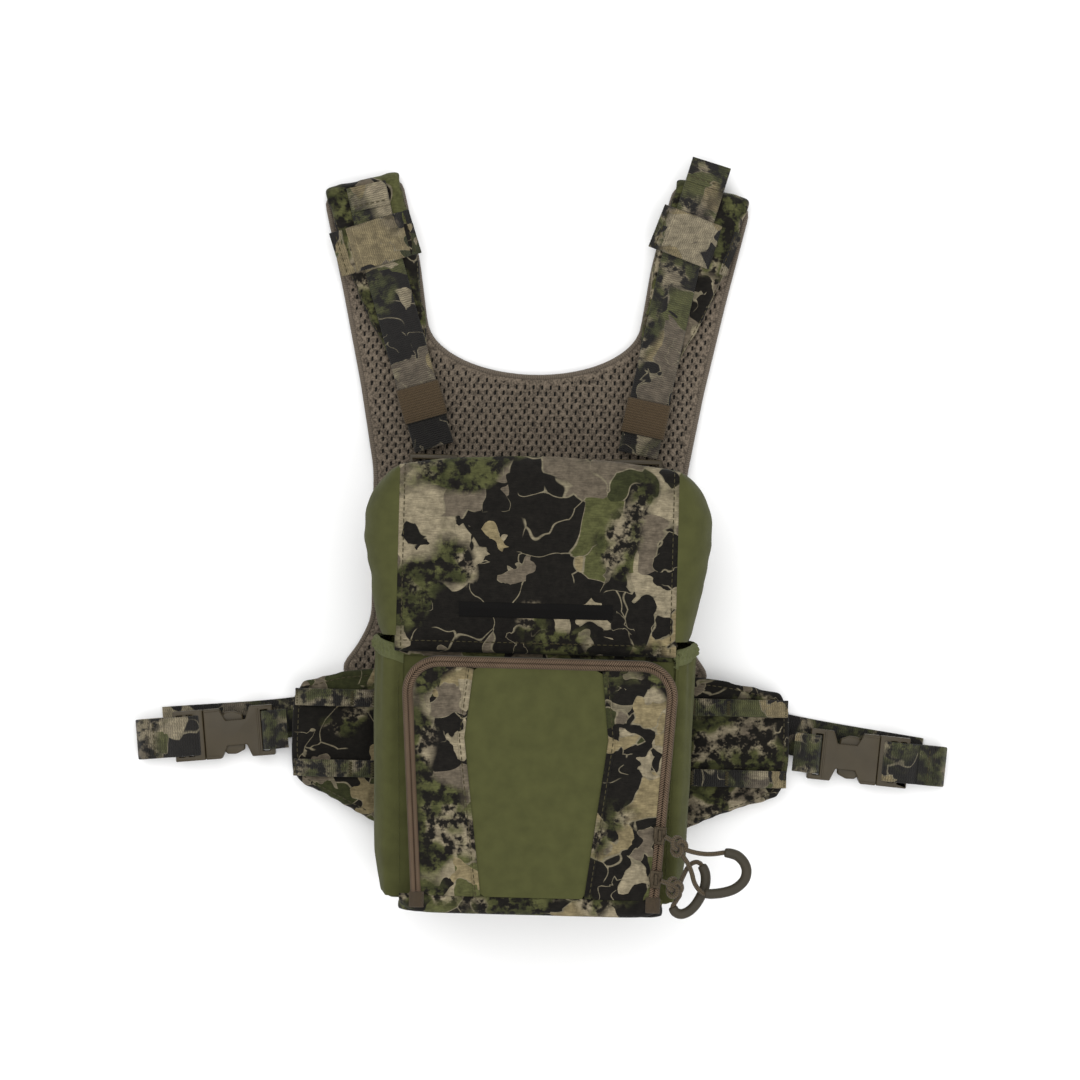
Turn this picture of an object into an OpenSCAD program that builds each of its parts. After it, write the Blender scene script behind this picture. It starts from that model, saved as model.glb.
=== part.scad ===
// Chest pack for binoculars on a padded shoulder harness, lying on its back.
// +Z points out of the pack's front, +Y towards the shoulders, +X to the viewer's right.
// The origin is on the surface that the harness rests on.

/* [Yoke] */
// Sideways place of the yoke's centre line
yoke_x = -6; // [-10:1:0]
// Thickness of the outer cover cloth
cover_t = 1.2; // [0.8:0.1:1.4]
// Top of the spacer mesh pad
mesh_top = 6.6; // [5:0.1:6.8]
// Half width of the neck cut-out above its round bottom
neck_r = 66.5; // [60:0.5:68]
// Height of the neck cut-out's lowest point
neck_y = 100.8; // [95:0.1:110]

/* [Shoulder] */
// Top face of the front shoulder pads
pad_top = 13; // [12:0.1:13.2]
// Width of the harness webbing
strap_w = 24.6; // [22:0.1:25.4]
// Thickness of the harness webbing
strap_t = 1.5; // [1:0.1:1.5]
// Width of the elastic band over each strap tail
band_w = 28; // [20:1:32]
// Length of the elastic keepers along the strap
keeper_len = 22; // [16:1:24]

/* [Pack] */
// Half width of the main compartment
body_hw = 85; // [80:0.5:85]
// Front face of the main compartment
body_front = 92; // [80:1:92]
// Wall thickness of the padded cloth
wall = 3; // [2:0.5:3]
// Bottom of the main compartment
body_bottom = -217; // [-217:1:-210]
// Top end of the main compartment
body_top = 30; // [24:1:32]
// Furthest reach of the left wing from the centre line
left_reach = 150.5; // [140:0.5:156]
// Furthest reach of the right wing from the centre line
right_reach = 160; // [150:0.5:166]

/* [Lid] */
// Half width of the patterned lid panel
lid_hw = 84; // [80:0.5:84]
// Outer face of the lid
lid_front = 98.5; // [98:0.1:99]
// Outer face of the lid's top end
lid_top = 42; // [40:0.5:44]

/* [Front pocket] */
// Sideways place of the pocket's centre line
pocket_x = 3.5; // [0:0.5:4]
// Half width of the pocket at its top
pocket_hw = 81.5; // [78:0.5:81.5]
// Angle at which the pocket's sides draw in
pocket_taper = 3.8; // [3:0.1:4.5]
// Upper edge of the pocket
pocket_top = -71.5; // [-75:0.5:-71]
// Lower edge of the pocket
pocket_bottom = -216; // [-216:0.5:-212]
// Face that the zipper is sewn on
pocket_face = 112.5; // [108:0.5:113]

/* [Buckles] */
// Length of a buckle socket
socket_len = 42.5; // [40:0.5:43]
// Width of the buckles
buckle_w = 31; // [30:0.5:32]
// Top face of the buckles
buckle_top = 13.6; // [13:0.1:14]

/* [Hidden] */
$fn = 48;
camo = "#4d4a38";
olive = "#5d683c";
taupe = "#5f564a";
brown = "#4e3f2b";
plastic = "#575040";

// ---- outlines and small tools ----

function arc(c, r, a0, a1, n = 8) =
  [for (i = [0 : n]) c + r * [cos(a0 + (a1 - a0) * i / n), sin(a0 + (a1 - a0) * i / n)]];

function seg_normal(a, b) = [a.y - b.y, b.x - a.x] / norm(b - a);

// A flat strip of the given width along a path.
function strip(p, w) =
  let (last = len(p) - 1,
       n = [for (i = [0 : last])
              let (s = seg_normal(p[max(i - 1, 0)], p[max(i, 1)])
                     + seg_normal(p[min(i, last - 1)], p[min(i + 1, last)]))
              s / norm(s)])
  concat([for (i = [0 : last]) p[i] + n[i] * w / 2],
         [for (i = [last : -1 : 0]) p[i] - n[i] * w / 2]);

function flip(p) = [for (i = [len(p) - 1 : -1 : 0]) [-p[i].x, p[i].y]];

module slab(outline, z0, z1) {
  translate([0, 0, z0]) linear_extrude(z1 - z0) polygon(outline);
}

function unit(v) = v / norm(v);

module box(lo, hi) {
  translate(lo) cube(hi - lo);
}

// Mirrors its child for the left side.
module sided(side) {
  mirror([side < 0 ? 1 : 0, 0, 0]) children();
}

// ---- yoke and shoulders, in distances from the yoke's centre line ----

// Ends of the fold where an arm turns over into its front pad.
fold_r = pad_top / 2;
fold_in = [84.3, 220.7];
fold_out = [132.3, 207.7];
fold_len = norm(fold_out - fold_in);
fold_angle = atan2(fold_out.y - fold_in.y, fold_out.x - fold_in.x);

neck = [for (a = [0 : -10 : -90]) [neck_r * cos(a), 135 + (135 - neck_y) * sin(a)]];
yoke_half = concat(
  [[60, -94], [110, -90], [114, -82], [103.5, -68], [96, -52], [97, 40], [106, 91], [118, 147],
   fold_out, fold_in, [71.7, 170]],
  neck);
yoke_outline = concat(yoke_half, [for (p = flip(yoke_half)) if (p.x < 0) p]);

// Section of the turn: a half round that laps into the pad's upper layer.
pad_lo = mesh_top + 0.4;
turn_section = concat(arc([0, fold_r], fold_r - 0.1, -90, 90, 12),
                      [[-2, 2 * fold_r - 0.1], [-2, pad_lo + 0.2], [0, pad_lo + 0.2]]);

pad_outline = [fold_in - [0.3, 1], fold_out - [0.4, 1], [126, 187], [118, 161], [102, 127], [87, 103],
               [63, 103], [65, 134], [68.5, 155], [71.5, 185], [78.5, 205]];

module yoke_cover() color(camo)
  translate([yoke_x, 0, 0]) slab(yoke_outline, 0, cover_t);

module yoke_mesh() color(taupe)
  translate([yoke_x, 0, 0]) slab(yoke_outline, cover_t, mesh_top);

module shoulder_pad(side) color(camo)
  translate([yoke_x, 0, 0]) sided(side) {
    slab(pad_outline, pad_lo, pad_top);
    translate([fold_in.x, fold_in.y, 0]) rotate([0, 0, fold_angle])
      rotate([90, 0, 90]) linear_extrude(fold_len) polygon(turn_section);
  }

// Routes of the adjusting straps: tail end, knee at the band, and the ladder lock.
LEFT_STRAP = [[-112, 215], [-100, 167], [-65.6, 54.2]];
RIGHT_STRAP = [[101, 234], [83, 171], [60, 52.8]];
function strap_route(side) = side < 0 ? LEFT_STRAP : RIGHT_STRAP;

tail_z = pad_top + 0.1;
under_z = tail_z - 0.2 - strap_t;

// The tail lies on the pad and over the strap that is sewn to the pad's tip.
module strap_tail(side) color(camo)
  slab(strip(strap_route(side), strap_w), tail_z, tail_z + strap_t);

module shoulder_strap(side) color(camo)
  difference() {
    slab(strip(strap_route(side), strap_w), under_z, under_z + strap_t);
    box([-200, 102.8, 0], [200, 300, 20]);
  }

// Centres of the bands, how far they lean, and where the strap crosses them.
BAND = [[-105.2, 179.2, 18.5, 2], [92, 186, -20, -4]];
function band(side) = side < 0 ? BAND[0] : BAND[1];
band_z = tail_z + strap_t + 0.2;
band_hw = 25;
band_t = 1.1;
// The band steps up over the strap.
function band_line(h, dx) =
  [[-band_hw, pad_top + 0.1 + h], [dx - 16.5, pad_top + 0.1 + h], [dx - 14.8, band_z + h],
   [dx + 14.8, band_z + h], [dx + 16.5, pad_top + 0.1 + h], [band_hw, pad_top + 0.1 + h]];
function band_profile(dx) =
  concat(band_line(0, dx), [for (i = [5 : -1 : 0]) band_line(band_t, dx)[i]]);

module tail_band(side) color(camo)
  translate([band(side).x, band(side).y, 0]) rotate([0, 0, band(side).z])
    rotate([90, 0, 0]) translate([0, 0, -band_w / 2]) linear_extrude(band_w)
      polygon(band_profile(band(side)[3]));

// Distances of the keepers from the straps' lower ends.
KEEPER_AT = [29, 23];
keeper_t = 1.1;
keeper_hw = strap_w / 2 + 0.4;
keeper_lo = under_z - 0.4;
keeper_hi = tail_z + strap_t + 0.4;

module keeper(side) {
  r = strap_route(side);
  c = r[2] + (side < 0 ? KEEPER_AT[0] : KEEPER_AT[1]) * unit(r[1] - r[2]);
  lean = atan2(r[1].y - r[2].y, r[1].x - r[2].x) - 90;
  color(brown) translate([c.x, c.y, 0]) rotate([0, 0, lean])
    difference() {
      box([-keeper_hw - keeper_t, -keeper_len / 2, keeper_lo - keeper_t],
          [keeper_hw + keeper_t, keeper_len / 2, keeper_hi + keeper_t]);
      box([-keeper_hw, -keeper_len, keeper_lo], [keeper_hw, keeper_len, keeper_hi]);
    }
}

// Three-bar lock where the strap doubles back.
lock_y = 32;
lock_len = 18;
lock_lo = 9.5;
lock_hi = 15;

module ladder_lock(side) color(plastic)
  translate([strap_route(side)[2].x, lock_y, 0])
    difference() {
      box([-15, 0, lock_lo], [15, lock_len, lock_hi]);
      for (y = [3.2, 11]) box([-12.8, y, lock_lo - 1], [12.8, y + 3.8, lock_hi + 1]);
    }

module lock_tabs() color(camo)
  for (side = [-1, 1])
    translate([strap_route(side)[2].x, 0, 0])
      box([-12, body_top + 0.2, under_z], [12, lock_y - 0.2, under_z + strap_t]);

// ---- pack body ----

back_lo = 7;
back_hi = 12.4;
body_lo = 14;

module back_panel() color(camo)
  box([-body_hw + 1, body_bottom + 3, back_lo], [body_hw - 1, body_top, back_hi]);

module frame_sheet() color("#2a2a28")
  box([-78, body_bottom + 9, back_hi + 0.2], [78, body_top - 6, body_lo - 0.2]);

module back_mesh_pad() color(taupe)
  slab(concat(arc([68, -110], 12, 0, 90), arc([-68, -110], 12, 90, 180),
              arc([-66, -198], 14, 180, 270), arc([66, -198], 14, 270, 360)),
       0, back_lo - 0.2);

// The shell is full height below the lid's hinge and lower inside the lid.
shell_step_y = -68;
shell_low_front = 86;

module body_shell() color(olive)
  difference() {
    union() {
      box([-body_hw, body_bottom, body_lo], [body_hw, shell_step_y, body_front]);
      box([-body_hw, shell_step_y, body_lo], [body_hw, body_top, shell_low_front]);
    }
    box([-body_hw + wall, body_bottom + wall, body_lo + wall],
        [body_hw - wall, shell_step_y, body_front - wall]);
    box([-body_hw + wall, shell_step_y - 1, body_lo + wall],
        [body_hw - wall, body_top + 1, body_front + 1]);
  }

module bottom_panel() color(camo)
  translate([0, body_bottom - 0.2, 0]) rotate([90, 0, 0])
    linear_extrude(6.6)
      polygon(concat(arc([72, 16], 8, -90, 0), arc([64, 95.5], 16, 0, 90),
                     arc([-62, 95.5], 16, 90, 180), arc([-70, 16], 8, 180, 270)));

// Stretch side pockets, open towards the shoulders.
pocket_side = [[84, body_bottom + 1], [88.5, -213], [93, -190], [94.5, -150], [96, -78]];
side_wall = 2.4;

module side_pocket(side) color(olive) sided(side)
  difference() {
    slab(concat([[body_hw + 0.2, body_bottom + 1]], [for (i = [1 : 4]) pocket_side[i]],
                [[body_hw + 0.2, -78]]), 16, 90);
    slab([[body_hw - 5, -212], [86.5, -210], [90.6, -189], [92.1, -150], [93.6, -70],
          [body_hw - 5, -70]], 16 + side_wall, 90 - side_wall);
  }

module pocket_hem(side) color(olive) sided(side)
  difference() {
    box([body_hw + 0.2, -77.8, 16], [97.2, -61, 93.6]);
    box([body_hw - 5, -80, 18.4], [93.6, -50, 91.2]);
    box([body_hw - 5, -80, 10], [body_hw + 0.3, -50, 95]);
  }

module closure_flap() color(olive)
  box([-42, body_top + 0.2, body_lo], [42, body_top + 2.2, 40]);

magnet_r = 6;
magnet_z = 31;
module magnet_pair(y) color("#8a8a88")
  for (x = [-30, 30]) translate([x, y, magnet_z]) rotate([-90, 0, 0])
    cylinder(r = magnet_r, h = 2);

module body_magnets() magnet_pair(body_top + 2.4);

// ---- wings and their webbing ----

function reach(side) = side < 0 ? left_reach : right_reach;
function wing_outline(e) =
  [[84.2, -184], [94, -180], [e - 22, -163], [e - 8, -156.5], [e - 2, -148], [e, -135],
   [e - 0.5, -103], [e - 7, -91], [120, -84], [84.2, -80]];

module wing(side) color(camo) sided(side)
  slab(wing_outline(reach(side)), back_lo, body_lo);

// Rows of narrow webbing, tacked down every loop length.
row_w = 10.6;
row_z = body_lo + 0.2;
module wing_webbing(side) color(camo) sided(side)
  for (y = [-101.5, -145])
    box([97.5, y - row_w / 2, row_z], [reach(side) - 1, y + row_w / 2, row_z + 1.4]);

// ---- side release buckles, in a frame that starts at the socket's strap bar ----

BUCKLE = [[-160.2, -122.3, 6], [170.6, -128.4, 4.5]];
module at_buckle(side) {
  b = side < 0 ? BUCKLE[0] : BUCKLE[1];
  translate([b.x, b.y, 0]) rotate([0, 0, -side * b.z]) sided(side) children();
}

buckle_lo = 3.6;
buckle_hw = buckle_w / 2;
front_z = 9.5;
waist_hw = 7.7;
mouth_u = 33;
cavity_hw = 12.1;
release = 30;

module wing_strap(side) color(camo) at_buckle(side)
  box([side < 0 ? -8.2 : -9.4, -12, buckle_lo + 5.4], [-0.2, 12, buckle_lo + 6.9]);

module buckle_socket(side) color(plastic) at_buckle(side)
  difference() {
    slab([[0, -buckle_hw], [14, -buckle_hw], [17, -waist_hw], [29, -waist_hw],
          [mouth_u, -buckle_hw], [socket_len, -buckle_hw], [socket_len, buckle_hw],
          [mouth_u, buckle_hw], [29, waist_hw], [17, waist_hw], [14, buckle_hw],
          [0, buckle_hw]], buckle_lo, buckle_top);
    box([3, -12.8, 0], [7.4, 12.8, 20]);
    box([15.5, -cavity_hw, buckle_lo + 2], [socket_len + 1, cavity_hw, buckle_top - 2]);
  }

plug_u = socket_len + 0.4;
module buckle_plug(side) color(plastic) at_buckle(side) {
  difference() {
    box([plug_u, -buckle_hw, buckle_lo + 0.5], [plug_u + 18.5, buckle_hw, buckle_top - 0.5]);
    for (u = [7, 13]) box([plug_u + u, -12.8, 0], [plug_u + u + 3.2, 12.8, 20]);
  }
  box([18, -2.4, buckle_lo + 2.4], [plug_u, 2.4, buckle_top - 2.4]);
}

// Springy arms whose shoulders catch behind the socket's mouth.
module latch_arms(side) color(plastic) at_buckle(side)
  for (s = [-1, 1]) mirror([0, s < 0 ? 1 : 0, 0])
    slab([[18, 6], [plug_u - 0.1, 7.5], [plug_u - 0.1, 11], [mouth_u - 2, 11.2],
          [mouth_u - 3.5, 13], [24, 13.4], [18.5, 11]], buckle_lo + 2.4, buckle_top - 2.4);

// The side strap threads the plug, turns back at its far end and runs under itself.
fold_u = 80.5;
turn_r = (front_z + strap_t - 1.8) / 2;
module side_strap(side) color(camo) at_buckle(side) {
  box([plug_u + 18.8, -strap_w / 2, front_z], [fold_u, strap_w / 2, front_z + strap_t]);
  box([release + 8, -strap_w / 2, 1.8], [fold_u, strap_w / 2, 1.8 + strap_t - 0.2]);
  box([plug_u + 18.8, -strap_w / 2, front_z + strap_t], [77, strap_w / 2, front_z + 2 * strap_t]);
  translate([fold_u, 0, 1.8 + turn_r]) rotate([90, 0, 0]) translate([0, 0, -strap_w / 2])
    intersection() {
      difference() {
        cylinder(r = turn_r, h = strap_w);
        translate([0, 0, -1]) cylinder(r = turn_r - strap_t + 0.2, h = strap_w + 2);
      }
      box([0, -turn_r, 0], [turn_r, turn_r, strap_w]);
    }
}

// The part of the side strap that stays sewn to the yoke's lower corner.
ANCHOR_LEFT = [[-229, -123], [-150, -115], [-113, -104.6]];
ANCHOR_RIGHT = [[240, -130], [160, -118], [104, -104.6]];
module anchor_strap(side) color(camo)
  slab(strip(side < 0 ? ANCHOR_LEFT : ANCHOR_RIGHT, strap_w), 0.2, 1.5);

// ---- front pocket and its zipper, in distances from the pocket's centre line ----

corner_r = 21;
function pocket_half(i) =
  let (c = [pocket_hw - corner_r, pocket_top - corner_r],
       p = c + (corner_r - i) * [cos(pocket_taper), -sin(pocket_taper)],
       y = pocket_bottom + i)
  concat([[p.x - tan(pocket_taper) * (p.y - y), y]], arc(c, corner_r - i, -pocket_taper, 90));
function pocket_outline(i) = concat(pocket_half(i), flip(pocket_half(i)));

module pocket_ring(outer, inner, z0, z1) {
  translate([pocket_x, 0, 0]) difference() {
    slab(pocket_outline(outer), z0, z1);
    slab(pocket_outline(inner), z0 - 1, z1 + 1);
  }
}

module pocket_gusset() color(camo) pocket_ring(0, 2.4, body_front + 0.2, pocket_face);

coil_in = 3.1;
tape_t = 0.8;
coil_lo = pocket_face + tape_t;
coil_hi = coil_lo + 1.9;
door_edge = pocket_bottom + 1.6;

// The zipper's outer half is sewn to the gusset and ends under two tabs.
module zipper_body_half() color(taupe) {
  difference() {
    union() {
      pocket_ring(0, coil_in - 0.2, pocket_face, pocket_face + tape_t);
      pocket_ring(coil_in - 1.5, coil_in - 0.2, coil_lo, coil_hi);
    }
    box([-120, -300, 100], [120, door_edge + 3, 130]);
  }
  translate([pocket_x, 0, 0])
    for (x = [-70, 70])
      box([x - 5, pocket_bottom - 5, pocket_face], [x + 5, door_edge - 0.4, coil_lo + 1]);
}

module door_clip() {
  box([-120, door_edge, 100], [120, 0, 130]);
}

module zipper_door_half() color(taupe) intersection() {
  union() {
    pocket_ring(coil_in + 0.2, 6, pocket_face, pocket_face + tape_t);
    pocket_ring(coil_in + 0.2, coil_in + 1.5, coil_lo, coil_hi);
  }
  box([-120, door_edge + 3.2, 100], [120, 0, 130]);
}

// The centre panel is a long six-sided piece between two patterned sides.
door_top = pocket_top - 6.2;
door_hi = pocket_face + 2.2;
centre_panel = [[26, -260], [43.8, -119], [36, door_top + 30], [-36, door_top + 30],
                [-43.8, -119], [-26, -260]];
module door_area(i) {
  intersection() {
    translate([pocket_x, 0, 0]) slab(pocket_outline(i), pocket_face, door_hi);
    door_clip();
  }
}

module door_centre() color(olive) intersection() {
  door_area(6.2);
  translate([2, 0, 0]) slab(centre_panel, 100, 130);
}

module door_sides() color(camo) difference() {
  door_area(6.2);
  translate([2, 0, 0]) slab(centre_panel, 100, 130);
}

// Sliders ride on the straight right leg of the zipper.
leg_top = [pocket_x + pocket_hw - coil_in, pocket_top - corner_r];
function on_leg(y) = [leg_top.x - tan(pocket_taper) * (leg_top.y - y), y];
SLIDER_Y = [-174, -200];
slider_lo = coil_hi + 0.3;

module slider(y) color(plastic)
  translate([on_leg(y).x, y, slider_lo]) rotate([0, 0, -pocket_taper]) {
    slab([[-2.6, -5.5], [2.6, -5.5], [3.8, -1], [3.8, 5], [-3.8, 5], [-3.8, -1]], 0, 1.2);
    difference() {
      box([-1.1, -3.4, 1.2], [1.1, 3.4, 3.4]);
      box([-2, -1.9, 1.2], [2, 1.9, 2.4]);
    }
  }

// ---- pull cords, as round tubes along hand-set routes ----

function tangent(p, i) =
  unit(p[min(i + 1, len(p) - 1)] - p[max(i - 1, 0)]);

module tube(p, d, sides = 8) {
  rings = [for (i = [0 : len(p) - 1])
             let (t = tangent(p, i), a = unit(cross(t, [0, 0, 1])), b = cross(a, t))
             for (k = [0 : sides - 1])
               p[i] + d / 2 * (a * cos(360 * k / sides) + b * sin(360 * k / sides))];
  walls = [for (i = [0 : len(p) - 2], k = [0 : sides - 1])
             [i * sides + k, i * sides + (k + 1) % sides,
              (i + 1) * sides + (k + 1) % sides, (i + 1) * sides + k]];
  ends = [[for (k = [sides - 1 : -1 : 0]) k],
          [for (k = [0 : sides - 1]) (len(p) - 1) * sides + k]];
  polyhedron(rings, concat(walls, ends), convexity = 6);
}

cord_d = 2.8;
sleeve_d = 6;
UPPER_OUT = [[79.6, -174.6, 118.6], [84, -177, 119.4], [90, -181, 119.4], [96, -183, 119],
             [102, -184, 118.6], [108, -184, 118.4], [114.5, -183, 118.2]];
UPPER_TUBE = [[115, -183, 118.2], [119, -183.5, 118], [123, -185, 118], [126.5, -188.5, 118],
              [128.2, -193, 118], [127.5, -198, 118], [124.5, -202, 118], [120, -205, 118],
              [114, -206.8, 118], [108, -207.6, 118], [104, -207.6, 118]];
UPPER_BACK = [[102.9, -207.3, 118], [100, -205, 118], [97.5, -201, 118], [96, -196, 118.2],
              [94, -191, 118.6], [91, -186.5, 119], [88.6, -183.6, 119.2]];
LOWER_OUT = [[77.9, -200.8, 118.6], [82.5, -202.2, 119], [87, -204.6, 117.6], [89.3, -208.4, 115.2],
             [87.7, -211.9, 113.3], [86.3, -214.4, 112.5]];
LOWER_TUBE = [[85.3, -216.4, 112], [87, -219.4, 111.5], [90.6, -220.6, 111], [94.8, -219, 110.5],
              [98.5, -215.5, 110], [101.3, -211, 109.7], [103.6, -206, 109.5],
              [104.6, -200.5, 109.4], [104, -195.5, 109.5], [102, -191.5, 109.8]];
LOWER_BACK = [[100.5, -190.1, 110], [98.5, -189.6, 110.4], [95.6, -190.8, 111], [93, -194, 112],
              [91, -198, 113.6], [89.4, -201.6, 114.8]];

module pull_cord(out, back) color(brown) {
  tube(out, cord_d);
  tube(back, cord_d);
}

// ---- lid, hinged along its lower front edge ----

lid_edge = -65;
lid_back = 22;
lid_t = 3.8;
lid_round = 6;

// The patterned panel runs up the front and over the top end in one piece.
module lid_panel() color(camo)
  translate([lid_hw, 0, 0]) rotate([90, 0, -90]) linear_extrude(2 * lid_hw)
    mirror([1, 0, 0]) difference() {
      union() {
        translate([lid_edge, lid_back]) square([lid_top - lid_edge - lid_round,
                                                lid_front - lid_back]);
        translate([0, lid_back]) square([lid_top, lid_front - lid_back - lid_round]);
        translate([lid_top - lid_round, lid_front - lid_round]) circle(lid_round);
      }
      translate([lid_edge - 1, lid_back - 1])
        square([lid_top - lid_t - lid_edge + 1, lid_front - lid_t - lid_back + 1]);
    }

// Bulging side gusset, from the hinge edge up to the top end.
gusset_outer = [[92, -59.5], [95.5, -56], [99, -31], [104, -3], [104.6, 8], [101.5, 24],
                [95, 34], [88, lid_top - 1.5], [84.2, lid_top - 1]];
gusset_inner = [[89, -70], [92.6, -56], [96.1, -31], [101, -3], [101.6, 8], [98.8, 22.5],
                [93, 31.5], [87, lid_top - 4.5], [80, lid_top - 4]];
gusset_front = lid_front - 1.7;
gusset_back = 24;

module lid_gusset(side) color(olive) sided(side)
  difference() {
    slab(concat([[84.2, -59.5]], gusset_outer), gusset_back, gusset_front);
    slab(concat([[80, -70]], gusset_inner), gusset_back - 1, gusset_front - wall);
  }

module lid_stiffener() color("#2a2a28")
  box([-80, -58, lid_front - lid_t - 2.4], [80, lid_top - lid_t - 4, lid_front - lid_t - 0.2]);

module lid_label() color("#1a1917")
  box([-46, -48, lid_front + 0.1], [45.5, -39, lid_front + 0.9]);

module lid_magnets() magnet_pair(lid_top - lid_t - 2.2);

yoke_cover();
yoke_mesh();
shoulder_pad(-1);  // shoulder_pad_left
shoulder_pad(1);  // shoulder_pad_right
tail_band(-1);  // tail_band_left
tail_band(1);  // tail_band_right
shoulder_strap(-1);  // shoulder_strap_left
shoulder_strap(1);  // shoulder_strap_right
strap_tail(-1);  // strap_tail_left
strap_tail(1);  // strap_tail_right
keeper(-1);  // keeper_left
keeper(1);  // keeper_right
ladder_lock(-1);  // ladder_lock_left
ladder_lock(1);  // ladder_lock_right
lock_tabs();
anchor_strap(-1);  // anchor_strap_left
anchor_strap(1);  // anchor_strap_right
back_panel();
frame_sheet();
back_mesh_pad();
body_shell();
bottom_panel();
side_pocket(-1);  // side_pocket_left
side_pocket(1);  // side_pocket_right
pocket_hem(-1);  // pocket_hem_left
pocket_hem(1);  // pocket_hem_right
closure_flap();
body_magnets();
wing(-1);  // wing_left
wing(1);  // wing_right
wing_webbing(-1);  // wing_webbing_left
wing_webbing(1);  // wing_webbing_right
wing_strap(-1);  // wing_strap_left
wing_strap(1);  // wing_strap_right
buckle_socket(-1);  // buckle_socket_left
buckle_socket(1);  // buckle_socket_right
pocket_gusset();
zipper_body_half();
lid_panel();
lid_gusset(-1);  // lid_gusset_left
lid_gusset(1);  // lid_gusset_right
lid_stiffener();
lid_label();
lid_magnets();
door_centre();
door_sides();
zipper_door_half();
slider(SLIDER_Y[0]);  // slider_upper
slider(SLIDER_Y[1]);  // slider_lower
pull_cord(UPPER_OUT, UPPER_BACK);  // pull_cord_upper
pull_cord(LOWER_OUT, LOWER_BACK);  // pull_cord_lower
color(brown) tube(UPPER_TUBE, sleeve_d);  // pull_tube_upper
color(brown) tube(LOWER_TUBE, sleeve_d);  // pull_tube_lower
buckle_plug(-1);  // buckle_plug_left
buckle_plug(1);  // buckle_plug_right
latch_arms(-1);  // latch_arms_left
latch_arms(1);  // latch_arms_right
side_strap(-1);  // side_strap_left
side_strap(1);  // side_strap_right
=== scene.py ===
"""Binocular harness pack: soft goods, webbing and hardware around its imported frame."""

import contextlib
import math

import bpy
import numpy as np
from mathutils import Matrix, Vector, noise


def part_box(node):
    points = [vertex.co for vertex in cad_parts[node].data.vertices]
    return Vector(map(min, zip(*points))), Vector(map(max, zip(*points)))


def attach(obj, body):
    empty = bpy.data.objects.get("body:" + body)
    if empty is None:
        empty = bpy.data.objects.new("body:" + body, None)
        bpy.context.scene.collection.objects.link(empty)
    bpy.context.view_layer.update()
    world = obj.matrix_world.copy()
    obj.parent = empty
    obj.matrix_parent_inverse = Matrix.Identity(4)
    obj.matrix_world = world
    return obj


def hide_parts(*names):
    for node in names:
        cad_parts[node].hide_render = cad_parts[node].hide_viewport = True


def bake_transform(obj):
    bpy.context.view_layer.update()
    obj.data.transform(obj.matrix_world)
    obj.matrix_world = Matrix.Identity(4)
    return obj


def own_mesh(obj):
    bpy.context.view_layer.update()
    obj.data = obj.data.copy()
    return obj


bl_info = {
    "name": "Binocular Harness Pack",
    "version": (1, 0, 0),
    "blender": (4, 5, 0),
    "location": "View3D > Sidebar > Harness Pack",
    "description": "Cloth, webbing, zipper and buckles of a chest pack on a padded harness",
    "category": "Object",
}

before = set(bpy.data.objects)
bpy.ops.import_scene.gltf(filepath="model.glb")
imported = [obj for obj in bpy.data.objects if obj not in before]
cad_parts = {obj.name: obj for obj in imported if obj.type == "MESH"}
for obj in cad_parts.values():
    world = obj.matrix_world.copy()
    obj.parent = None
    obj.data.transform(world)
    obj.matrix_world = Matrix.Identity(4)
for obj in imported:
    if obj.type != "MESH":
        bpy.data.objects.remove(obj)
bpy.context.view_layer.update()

MM = 0.001
UP = np.array((0.0, 0.0, 1.0))
SEED = 7


# ---- colours and sizes that a user would change ----


def linear(code):
    """An sRGB hex colour as linear red, green and blue."""
    shares = [int(code[i : i + 2], 16) / 255 for i in (1, 3, 5)]
    return [c / 12.92 if c <= 0.04045 else ((c + 0.055) / 1.055) ** 2.4 for c in shares]


def colour_choice(label, about, code):
    """A colour that the panel shows."""
    return bpy.props.FloatVectorProperty(
        name=label, description=about, default=linear(code), subtype="COLOR", min=0, max=1
    )


class HarnessColours(bpy.types.PropertyGroup):
    """Dyes and plastics of the harness pack."""

    dark: colour_choice("Dark print", "Near-black blobs of the print", "#13110e")
    olive: colour_choice("Green print", "Green ground of the print", "#434428")
    moss: colour_choice("Moss print", "Dark green of the print", "#2b2d19")
    stone: colour_choice("Stone print", "Palest blobs of the print", "#786f5b")
    taupe: colour_choice("Taupe print", "Grey-brown blobs of the print", "#554d41")
    khaki: colour_choice("Khaki print", "Sandy blobs of the print", "#6f644a")
    outline: colour_choice("Outline", "Thin lines around the blobs", "#696250")
    stretch: colour_choice("Stretch cloth", "Plain green stretch cloth", "#424325")
    mesh: colour_choice("Spacer mesh", "Knitted spacer mesh", "#61574b")
    tape: colour_choice("Zipper tape", "Woven tape of the zipper", "#4b3f33")
    coil: colour_choice("Zipper coil", "Nylon coil of the zipper", "#695848")
    elastic: colour_choice("Brown elastic", "Keepers on the straps", "#443622")
    plastic: colour_choice("Buckle plastic", "Buckles and strap locks", "#383020")
    cord: colour_choice("Pull cord", "Braided cord of the zipper pulls", "#463b29")
    sleeve: colour_choice("Pull sleeve", "Tube on the zipper pulls", "#332e23")
    label: colour_choice("Label", "Plain woven label", "#0b0a09")
    hem: colour_choice("Hem elastic", "Gathered elastic of the side pockets", "#555839")


def size_choice(label, about, size, smallest, largest):
    """A size that the panel shows."""
    return bpy.props.FloatProperty(
        name=label, description=about, default=size, min=smallest, max=largest
    )


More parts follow.
